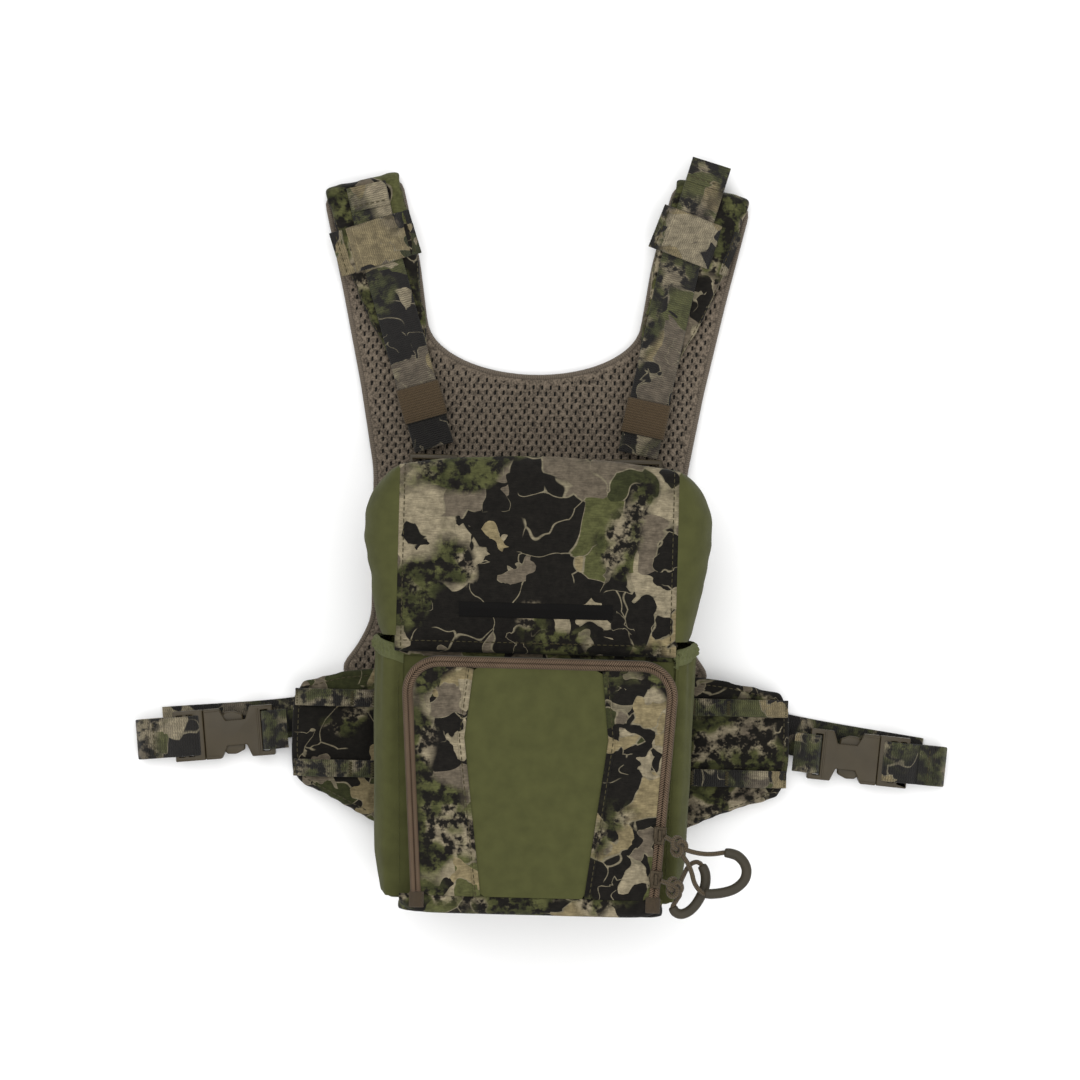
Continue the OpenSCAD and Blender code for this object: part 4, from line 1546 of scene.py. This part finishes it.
class BodyOperator(HarnessOperator):
    """Adds the back panel, the main compartment's shell, its bottom and its closing flap."""

    bl_idname = "harness.body"
    bl_label = "Pack Body"

    def execute(self, context):
        self.back()
        self.shell()
        self.bottom()
        self.flap()
        return {"FINISHED"}

    def back(self):
        low, high = room("back_panel")
        panel = block("back_panel_cloth", low + 0.3, high - 0.1, 2.2, 4)
        apply_modifier(panel, "REMESH", mode="VOXEL", voxel_size=3 * MM)
        apply_modifier(panel, "SMOOTH", factor=0.5, iterations=3)
        finish_piece(panel, camo_fabric("back_panel", (77, 18, 4)), "pack",
                     ["back_panel"])

        low, high = room("back_mesh_pad")
        half, top, bottom = high[0], high[1], low[1]
        cut = rounded([(-half, bottom), (half, bottom), (half, top), (-half, top)], 13, 6)
        cut = even_route(cut, 4, closed=True)
        face = mesh_sheet("back_mesh_face", cut, lambda x, y, d: 0.5 + 2.0 * np.exp(-d / 3), -1)
        back_with_cloth(face, high[2] - 0.2)
        finish_piece(face, knitted_mesh(), "pack", ["back_mesh_pad"], angle=60)
        rim = sweep("back_mesh_binding", at_height(cut, 3.6), oval_profile(5, 6, 3, 14), True)
        finish_piece(rim, woven_strap("binding", plain=dye("mesh")), "pack")

    def shell(self):
        shell = copy_of("body_shell", "body_shell_cloth")
        low, high = room("body_shell")
        apply_modifier(shell, "REMESH", mode="VOXEL", voxel_size=2.2 * MM)
        apply_modifier(shell, "SMOOTH", factor=0.5, iterations=2)
        p = vertices(shell)
        middle = (low + high) / 2
        face = np.abs(p[:, 0] - middle[0]) > high[0] - middle[0] - 4
        sag = ripple(*p.T, 45, 11) * 0.7
        p[:, 0] -= np.where(face, np.sign(p[:, 0]) * np.abs(sag), 0)
        front = p[:, 2] > high[2] - 4
        p[:, 2] -= np.where(front, np.abs(sag), 0)
        move_vertices(shell, p)
        finish_piece(shell, stretch_cloth(), "pack", ["body_shell"],
                     lining=lining_cloth())
        lower, upper = (low + 1.6) * MM, (high - 1.6) * MM
        for poly in shell.data.polygons:
            c = poly.center
            within = abs(c.x) < upper[0] and lower[1] < c.y and lower[2] < c.z < upper[2]
            toward = poly.normal.dot(Vector((0, c.y + 0.09, c.z - 0.05)) - Vector((c.x, 0, 0)))
            poly.material_index = 1 if within and abs(c.x) < 0.0834 and toward > -0.02 else 0

    def bottom(self):
        low, high = room("bottom_panel")
        panel = copy_of("bottom_panel", "bottom_panel_cloth")
        apply_modifier(panel, "REMESH", mode="VOXEL", voxel_size=1.8 * MM)
        apply_modifier(panel, "SMOOTH", factor=0.6, iterations=5)
        p = vertices(panel)
        out = np.clip((low[1] + 4 - p[:, 1]) / 4, 0, 1)
        p[:, 1] += out * (0.6 * ripple(*p.T, 26, 2) + 0.5)
        p[:, 2] += 0.5 * ripple(*p.T, 19, 4) * np.clip((p[:, 2] - 100) / 6, 0, 1)
        move_vertices(panel, p)
        finish_piece(panel, camo_fabric("bottom", (61, 190, 20)), "pack",
                     ["bottom_panel"])

        face = POCKET_FACE
        section = smooth_route([(-212.4, face - 0.6, 0), (-214.6, face + 0.9, 0),
                                (-218.4, face + 1.5, 0), (-221.6, face + 0.4, 0),
                                (-223.7, face - 2.4, 0), (-223.6, face - 9, 0)], 0.8)

        def place(u, v):
            y, z, _ = spots_at(v * (len(section) - 1), np.arange(len(section)), section).T
            x = low[0] + 1 + u * (high[0] - low[0] - 2)
            corner = np.abs(2 * u - 1) ** 14 * np.clip((-214 - y) / 8, 0, 1)
            folds = ripple(x, y, z, 15, 5) * 0.5
            return x, y + 6 * corner, z + folds - 2 * corner

        roll = cloth_grid("bottom_roll_cloth", 90, 26, place)
        scale_map(roll, 155, 18)
        thicken(roll, 1.5, (0, -205, 95))
        finish_piece(roll, camo_fabric("bottom", (61, 190, 20)), "pack")

    def flap(self):
        low, high = room("closure_flap")
        middle = (low + high) / 2
        wide, tall = high[0] - low[0], high[2] - low[2]

        def place(u, v):
            x = low[0] + u * wide
            z = low[2] + v * tall
            round_off = 5 * np.maximum(0, np.abs(u - 0.5) * 2 - 0.86) / 0.14 * (v > 0.6)
            y = middle[1] + 0.5 * np.sin(u * 9) * v
            return x, y, z - round_off * (v - 0.6)

        flap = cloth_grid("closure_flap_cloth", 42, 12, place)
        scale_map(flap, wide, tall)
        thicken(flap, 1.3, middle - (0, 30, 0))
        soften_edges(flap, 0.4, 2)
        finish_piece(flap, stretch_cloth(), "pack", ["closure_flap"])


class SidePocketsOperator(HarnessOperator):
    """Adds the stretch side pockets with their pleats, and the gathered elastic at their mouths."""

    bl_idname = "harness.side_pockets"
    bl_label = "Side Pockets"

    seam_share = 0.05
    front_share = 0.1

    section = [(84.2, 92.9), (87.5, 92.2), (91, 89), (94, 82), (95.6, 72), (96, 60), (95.4, 45),
               (94, 32), (91.5, 22), (88, 15.6), (85.4, 15)]

    def execute(self, context):
        for side in SIDES:
            self.pocket(side)
            self.hem(side)
        return {"FINISHED"}

    def girth(self, side, u, y):
        """A point of the pocket's cross-section, from its front seam round to the back."""
        s = sign(side)
        inner = POCKET_HALF + math.tan(POCKET_TAPER) * np.minimum(0, y - POCKET_TOP + CORNER_R)
        inner = inner + 0.5 + s * POCKET_X
        line = smooth_route(self.section, 1.5)
        travel = travelled(line)
        front = self.front_share
        t = np.clip((u - front) / (1 - front), 0, 1) * travel[-1]
        x, z = spots_at(t, travel, line).T
        flat = np.clip(u / front, 0, 1)
        x = np.where(u < front, np.minimum(inner, 84.2) * (1 - flat) + 84.2 * flat, x)
        z = np.where(u < front, 92.5 + 0.4 * flat, z)
        narrow = np.interp(y, (-217, -213, -190, -150, -78), (0.06, 0.42, 0.78, 0.92, 1.0))
        x = np.where(x > 85, 85 + (x - 85) * narrow, x)
        return x, z, t

    def mouth(self, u):
        """The pocket's sloping upper edge, higher at the silhouette than in front."""
        return -70 + 6.5 * np.clip(u / 0.3, 0, 1)

    def pocket(self, side):
        s = sign(side)

        def place(u, v):
            top = self.mouth(u) - 6
            y = POCKET_BOTTOM + 0.4 + v * (top - POCKET_BOTTOM - 0.4)
            x, z, t = self.girth(side, u, y)
            gathers = np.cos(t * 0.72 + 1.3 * np.sin(t * 0.19)) * np.exp((y - top) / 26)
            long_fold = ripple(t, y * 0.22, s * 9, 11, 6)
            swing = (1.1 * gathers + 1.2 * long_fold) * np.clip((u - 0.06) * 8, 0, 1)
            swing = swing * np.clip((1 - u) * 8, 0, 1) * np.clip(v * 12, 0, 1)
            lean = np.clip((u - 0.12) / 0.25, 0, 1)
            return s * (x + swing * lean), y, z + swing * (1 - lean) * 0.6

        pocket = cloth_grid("side_pocket_cloth_" + side, 74, 60, place)
        scale_map(pocket, 100, 140)
        thicken(pocket, 1.5, (s * 60, -140, 50))
        finish_piece(pocket, stretch_cloth(), "pack", ["side_pocket_" + side])
        y = np.linspace(-208, -84, 50)
        x, z, _ = self.girth(side, np.full(50, self.seam_share), y)
        line = np.column_stack((s * x, y, z + 0.2))
        sewn = stitch_row("side_pocket_stitching_" + side, line, UP, thick=0.6)
        finish_piece(sewn, plain_cloth("green_thread", dye("stretch"), 0.6, 0.6, 0.1), "pack")

    def hem(self, side):
        s = sign(side)

        def place(u, v):
            y = self.mouth(u) - 7 + v * 10
            x, z, t = self.girth(side, u, np.minimum(y, -76))
            ruche = 0.8 * np.cos(t * 2.2 + 2 * np.sin(v * 5)) * np.sin(math.pi * v)
            ruche = ruche + 0.45 * np.cos(v * 21 + np.sin(t * 0.9))
            roll = 2.2 * np.sin(math.pi * np.clip(v, 0, 1)) ** 0.6
            swell_out = (roll + ruche) * np.clip(u * 12, 0.25, 1)
            lean = np.clip((u - 0.1) / 0.2, 0, 1)
            return s * (x + swell_out * lean), y, z + swell_out * (1 - lean) * 0.7 + 0.15

        hem = cloth_grid("pocket_hem_elastic_" + side, 150, 12, place)
        scale_map(hem, 100, 10)
        thicken(hem, 1.6, (s * 60, -70, 50))
        elastic = plain_cloth("gathered_elastic", dye("hem"), 0.9, 0.9, 0.6, 0.03)
        finish_piece(hem, elastic, "pack", ["pocket_hem_" + side])


# ---- front pocket ----


def door_height(x, y):
    """The bulging outer face of the pocket's door."""
    across = np.clip(np.abs(x - POCKET_X) / 76, 0, 1)
    along = np.clip(np.abs(y + 146) / 71, 0, 1)
    crown = sizes().door_crown * (1 - across**2.4) * (1 - along**2.6)
    return POCKET_FACE + 0.7 + crown


class PocketOperator(HarnessOperator):
    """Adds the front pocket: gusset, three-piece door, coil zipper with its end tabs."""

    bl_idname = "harness.pocket"
    bl_label = "Front Pocket"

    seam = [(31.8, DOOR_LOW), (43.8, -119), (39.3, DOOR_TOP)]
    seam_x = 2.0
    zipper_inset = 3.1
    tab_half = 4.4

    def execute(self, context):
        self.gusset()
        self.door()
        self.zipper()
        self.sliders()
        return {"FINISHED"}

    def gusset(self):
        low, high = room("pocket_gusset")
        edge = even_route(pocket_line(1.1, closed=True), 2.5, closed=True)
        tall = high[2] - low[2]
        outer = [(1.1 * math.sin(math.pi * t) ** 0.7 + 0.9, (t - 0.5) * tall)
                 for t in np.linspace(0, 1, 9)]
        inner = [(-1.1, (0.5 - t) * tall) for t in np.linspace(0, 1, 5)]
        wall = sweep("pocket_gusset_cloth", at_height(edge, (low[2] + high[2]) / 2),
                     [(-x, z) for x, z in outer + inner], True)
        finish_piece(wall, camo_fabric("gusset", (12, 90, 60)), "pack",
                     ["pocket_gusset"])

    def half_seam(self, s):
        return np.array([(self.seam_x + s * x, y) for x, y in self.seam])

    def door(self):
        edge = pocket_line(6.0)
        keep = edge[edge[:, 1] > DOOR_LOW]
        left, right = self.half_seam(-1), self.half_seam(1)
        corner = np.array([(np.interp(DOOR_LOW, (edge[-1][1], keep[-1][1]),
                                      (edge[-1][0], keep[-1][0])), DOOR_LOW)])
        far = np.array([(2 * POCKET_X - corner[0][0], DOOR_LOW)])
        centre = np.vstack((left, right[::-1]))
        over = keep[keep[:, 0] > right[-1][0]]
        under = keep[keep[:, 0] < left[-1][0]]
        cuts = [np.vstack((seam, rim[np.argsort(-rim[:, 1], kind="stable")], end))
                for seam, rim, end in ((right, over, corner), (left, under, far))]
        body = "pocket_door"

        def centre_height(x, y, depth):
            fold = 0.35 * ripple(x * 1.3, y * 0.5, 0, 24, 9)
            return door_height(x, y) - 0.5 + fold * np.clip(depth / 8, 0, 1)

        panel = cut_cloth("door_centre_cloth", even_route(centre, 3, closed=True), (2.6, 2.6),
                          centre_height)
        thicken(panel, 1.6, (0, -140, 60))
        finish_piece(panel, stretch_cloth(), body, ["door_centre"])

        parts = []
        for cut in cuts:
            def height(x, y, depth):
                rise = 0.5 * np.clip(depth / 3, 0, 1)
                fold = 0.4 * ripple(x * 1.2, y * 0.5, 0, 17, 12)
                return door_height(x, y) - 0.1 + rise + fold * np.clip(depth / 8, 0, 1)

            panel = cut_cloth("side", even_route(cut, 3, closed=True), (2.4, 2.4), height)
            thicken(panel, 1.6, (0, -140, 60))
            parts.append(panel)
        sides = join_pieces("door_side_cloth", parts)
        finish_piece(sides, camo_fabric("door", (465, 243, -19)), body,
                     ["door_sides"])

        beads, rows = [], []
        for s in (-1, 1):
            line = even_route(self.half_seam(s), 3)
            line[:, 1] = np.clip(line[:, 1], DOOR_LOW + 0.5, DOOR_TOP - 0.5)
            fold = line + (s * 0.9, 0)
            z = door_height(fold[:, 0], fold[:, 1]) + 0.35
            beads.append(sweep("bead", np.column_stack((fold, z)), oval_profile(4.2, 1.5, 2.4, 14)))
            thread = line + (s * 1.7, 0)
            z = door_height(thread[:, 0], thread[:, 1]) + 1.05
            rows.append(stitch_row("row", np.column_stack((thread, z)), UP, 0.7))
        bead = join_pieces("door_seam_folds", beads)
        finish_piece(bead, camo_fabric("door", (465, 243, -19)), body)
        sew("door_stitching", rows, body)

    def zipper(self):
        tape = plain_cloth("zipper_tape_polyester", dye("tape"), 0.85, 1.0, 0.3)
        coil = plain_cloth("zipper_coil_nylon", dye("coil"), 0.6, 0.7, 0.1, 0.0)
        for name, body, node, shift, low in (
            ("outer", "pack", "zipper_body_half", -1, POCKET_BOTTOM + 2),
            ("inner", "pocket_door", "zipper_door_half", 1, POCKET_BOTTOM + 4.8),
        ):
            centre = pocket_line(self.zipper_inset + shift * 1.75)
            centre[[0, -1], 1] = low
            route = even_route(centre, 2.5)
            band = sweep("zipper_tape_" + name, at_height(route, POCKET_FACE + 0.45),
                         webbing_profile(3.0, 0.9))
            finish_piece(band, tape, body, [node])

            rail = pocket_line(self.zipper_inset + shift * 1.3)
            rail[[0, -1], 1] = low
            teeth = even_route(rail, sizes().tooth_pitch)
            ahead = np.gradient(teeth, axis=0)
            ahead = ahead / np.linalg.norm(ahead, axis=1, keepdims=True)
            side_way = np.column_stack((ahead[:, 1], -ahead[:, 0])) * shift
            slant = side_way + ahead * 0.75
            along = np.column_stack((slant, np.zeros(len(teeth))))
            at = at_height(teeth, POCKET_FACE + 1.5)
            loops = repeat("zipper_coil_" + name, thread_shape(), at, along,
                           np.broadcast_to(UP, along.shape), (0.95, 3.5, 1.5))
            finish_piece(loops, coil, body)

        parts = []
        for x in (-70, 70):
            middle = POCKET_X + x
            low = (middle - self.tab_half, POCKET_BOTTOM - 4.4, POCKET_FACE + 0.1)
            high = (middle + self.tab_half, POCKET_BOTTOM + 5, POCKET_FACE + 2.4)
            tab = block("tab", low, high, 0.8, 3, 3)
            p = vertices(tab)
            p[:, 2] += 0.5 * np.sin((p[:, 0] - middle) * 0.6 + 1) * (p[:, 2] > POCKET_FACE + 1)
            move_vertices(tab, p)
            parts.append(tab)
        tabs = join_pieces("zipper_end_tabs", parts)
        finish_piece(tabs, woven_strap("tabs_brown", plain=dye("elastic")), "pack")

    def sliders(self):
        metal = brushed_metal("plated_die_casting", solid("#3a3226"), 0.45)
        for which in ("upper", "lower"):
            node = "slider_" + which
            slider = copy_of(node, "zipper_slider_" + which)
            soften_edges(slider, 0.5, 3)
            finish_piece(slider, metal, "zip_" + which, [node])


# ---- lid ----


def lid_surface(u, v):
    """The patterned panel, from its front edge over the crown and down the top end."""
    profile = [(LID_EDGE - 0.6, LID_FRONT - 4), (LID_EDGE - 0.4, LID_FRONT - 1.6),
               (LID_EDGE + 1.2, LID_FRONT), (LID_TOP - LID_ROUND, LID_FRONT)]
    for a in np.radians(np.arange(75, -1, -15)):
        profile.append((LID_TOP - LID_ROUND + LID_ROUND * math.cos(a),
                        LID_FRONT - LID_ROUND + LID_ROUND * math.sin(a)))
    profile.append((LID_TOP, LID_LOW[2]))
    line = even_route(profile, 0.8)
    at = np.linspace(0, 1, len(line))
    y, z = np.interp(v, at, line[:, 0]), np.interp(v, at, line[:, 1])
    x = (2 * u - 1) * LID_HALF
    across = 1 - np.abs(x / LID_HALF) ** 2.2
    ridge = np.clip((y - LID_EDGE) / (LID_TOP - LID_EDGE), 0, 1)
    crown = sizes().lid_crown * across * np.sin(math.pi * np.clip(ridge, 0.02, 0.98)) ** 0.8
    front = np.clip((z - LID_FRONT + LID_ROUND) / LID_ROUND, 0, 1)
    # flat where the open lid leans on the front pocket
    free = np.clip((y - LID_EDGE - 19.4) / 7, 0.04, 1)
    creases = ripple(x * 0.9, y * 0.8, z, 30, 1) * 0.55
    creases = creases + ripple(x * 0.6, y * 1.6, z, 13, 14) * 0.22
    quiet = np.clip((LID_HALF - np.abs(x)) / 7, 0.1, 1) * np.clip((y - LID_EDGE) / 6, 0.1, 1)
    z = z + (crown + creases * quiet) * front * free
    # the top end is fullest in its middle, and meets the body at its low edge
    full = 6.5 * across * np.clip((z - LID_LOW[2]) / 16, 0.1, 1)
    y = y + (full + creases * quiet) * (1 - front) * (y > 0)
    pull_in = 0.8 * np.exp(-(((LID_HALF - np.abs(x)) / 2.2) ** 2)) * front
    return x, y, z - pull_in


class LidOperator(HarnessOperator):
    """Adds the lid: patterned panel, bulging stretch gussets, stitching and a plain label."""

    bl_idname = "harness.lid"
    bl_label = "Lid"

    # the gussets' widest outline: how far along the lid, and how far out
    bulge = [(-60, 92.3), (-52, 95), (-31, 99), (-15, 102), (-3, 104), (8, 104.8), (18, 103),
             (27, 99), (34, 94.5), (39, 89.5), (41.6, 84.4)]

    def execute(self, context):
        self.panel()
        self.hinge()
        for side in SIDES:
            self.gusset(side)
        self.label()
        return {"FINISHED"}

    def hinge(self):
        """The strip of cloth that the lid turns on, between the front pocket and the lid."""
        low, high = np.array((-72.0, 92.6)), np.array((-63.0, LID_FRONT - 3.2))

        def place(u, v):
            x = (2 * u - 1) * (LID_HALF - 2)
            y = low[0] + v * (high[0] - low[0])
            z = low[1] + v * (high[1] - low[1]) + 0.9 * np.sin(math.pi * v)
            return x, y, z + 0.25 * ripple(x, y, z, 12, 3)

        strip = cloth_grid("lid_hinge_cloth", 60, 8, place)
        scale_map(strip, 2 * LID_HALF, 10)
        thicken(strip, 1.2, (0, -66, 60))
        finish_piece(strip, camo_fabric("gusset", (12, 90, 60)), None)
        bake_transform(strip)

    def panel(self):
        panel = cloth_grid("lid_panel_cloth", 96, 110, lid_surface)
        scale_map(panel, 2 * LID_HALF, 185)
        thicken(panel, 2.6, (0, -15, 50))
        soften_edges(panel, 0.5, 2, 60)
        finish_piece(panel, camo_fabric("lid", (512, 306, -5)), "lid",
                     ["lid_panel"])
        run = np.linspace(0.03, 0.985, 180)
        rows = [self.row_on_lid(np.full(180, u), run) for u in (0.022, 0.978)]
        across = np.linspace(0.03, 0.97, 160)
        rows.append(self.row_on_lid(across, np.full(160, 0.05)))
        sew("lid_stitching", rows, "lid")

    def row_on_lid(self, u, v):
        here = np.column_stack(lid_surface(u, v))
        beside = np.column_stack(lid_surface(u + 0.004, v))
        beyond = np.column_stack(lid_surface(u, v + 0.004))
        facing = np.cross(beside - here, beyond - here)
        facing /= np.linalg.norm(facing, axis=1, keepdims=True)
        return stitch_row("row", here + facing * 0.1, facing, 0.7)

    def gusset(self, side):
        s = sign(side)
        even = even_route(smooth_route(self.bulge, 2), 1.5)
        foot = room("lid_gusset_" + side)[0][2] + 0.3

        def place(u, v):
            y, out = spots_at(u * (len(even) - 1), np.arange(len(even)), even).T
            out = out - LID_HALF
            bend = np.maximum(0, y - (LID_TOP - LID_ROUND))
            top = LID_FRONT - 0.4 - LID_ROUND
            top = top + np.sqrt(np.maximum(LID_ROUND**2 - bend**2, 0))
            z = top - v * (top - foot)
            t = np.clip((top - z) / 26, 0, 1)
            full = (1 - (1 - t) ** 2.1) ** (1 / 2.1)
            full = full * (1 - 0.16 * np.clip((62 - z) / 40, 0, 1) ** 1.4)
            folds = ripple(y * 1.1, z * 0.35, s * 5, 13, 7) * 0.9
            deep = np.clip(v * 5, 0, 1) * np.clip(out / 8, 0, 1)
            x = LID_HALF - 0.6 + (out + 0.6) * full + folds * deep
            return s * x, y, z

        gusset = cloth_grid("lid_gusset_cloth_" + side, 76, 60, place)
        scale_map(gusset, 120, 75)
        thicken(gusset, 1.5, (s * 40, -10, 50))
        finish_piece(gusset, stretch_cloth(), "lid", ["lid_gusset_" + side])

    def label(self):
        low, high = room("lid_label")

        def on_lid(u, v):
            x = low[0] + u * (high[0] - low[0])
            y = low[1] + v * (high[1] - low[1])
            here = (x / LID_HALF + 1) / 2
            shares = np.linspace(0.01, 0.65, 200)
            ys = lid_surface(np.full(200, 0.5), shares)[1]
            share = np.interp(y, ys, shares)
            z = lid_surface(here, share)[2]
            edge = np.minimum(np.minimum(u * 90, (1 - u) * 90), np.minimum(v * 9, (1 - v) * 9))
            return x, y, z + 0.25 + 0.35 * np.clip(edge / 0.5, 0, 1)

        label = cloth_grid("lid_label_weave", 90, 14, on_lid)
        scale_map(label, 91.5, 9)
        thicken(label, 0.6, (0, -40, 60))
        finish_piece(label, plain_cloth("satin_woven_label", dye("label"), 0.9, 0.9, 0.2, 0.0),
                     "lid", ["lid_label"])


class HiddenPartsOperator(HarnessOperator):
    """Finishes the sheets and magnets that stay as the frame has them."""

    bl_idname = "harness.hidden_parts"
    bl_label = "Stiffeners and Magnets"

    def execute(self, context):
        sheet = moulded_plastic("polyethylene_sheet", solid("#2a2a28"), 0.5)
        metal = brushed_metal("nickel_plated_magnet", solid("#8a8a88"), 0.3)
        for node, material in (
            ("frame_sheet", sheet),
            ("lid_stiffener", sheet),
            ("body_magnets", metal),
            ("lid_magnets", metal),
        ):
            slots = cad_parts[node].data.materials
            slots.clear()
            slots.append(material)
        return {"FINISHED"}


# ---- panel and running ----

OPERATORS = (
    StageOperator,
    PullsOperator,
    YokeOperator,
    ShouldersOperator,
    StrapsOperator,
    WingsOperator,
    BucklesOperator,
    BodyOperator,
    SidePocketsOperator,
    PocketOperator,
    LidOperator,
    HiddenPartsOperator,
)


class HarnessPanel(bpy.types.Panel):
    """Lists the pack's colours, sizes and pieces."""

    bl_idname = "VIEW3D_PT_harness_pack"
    bl_label = "Binocular Harness Pack"
    bl_space_type = "VIEW_3D"
    bl_region_type = "UI"
    bl_category = "Harness Pack"

    def draw(self, context):
        column = self.layout.column()
        for group in (context.scene.harness_sizes, context.scene.harness_colours):
            for name in group.bl_rna.properties.keys():
                if name not in ("rna_type", "name"):
                    column.prop(group, name)
        for operator in OPERATORS:
            column.operator(operator.bl_idname)


CLASSES = (HarnessColours, HarnessSizes, *OPERATORS, HarnessPanel)


def register():
    for cls in CLASSES:
        bpy.utils.register_class(cls)
    bpy.types.Scene.harness_colours = bpy.props.PointerProperty(type=HarnessColours)
    bpy.types.Scene.harness_sizes = bpy.props.PointerProperty(type=HarnessSizes)


def unregister():
    del bpy.types.Scene.harness_sizes
    del bpy.types.Scene.harness_colours
    for cls in reversed(CLASSES):
        bpy.utils.unregister_class(cls)


def main():
    """Makes every piece."""
    register()
    for operator in OPERATORS:
        family, name = operator.bl_idname.split(".")
        getattr(getattr(bpy.ops, family), name)()


if __name__ == "__main__":
    main()
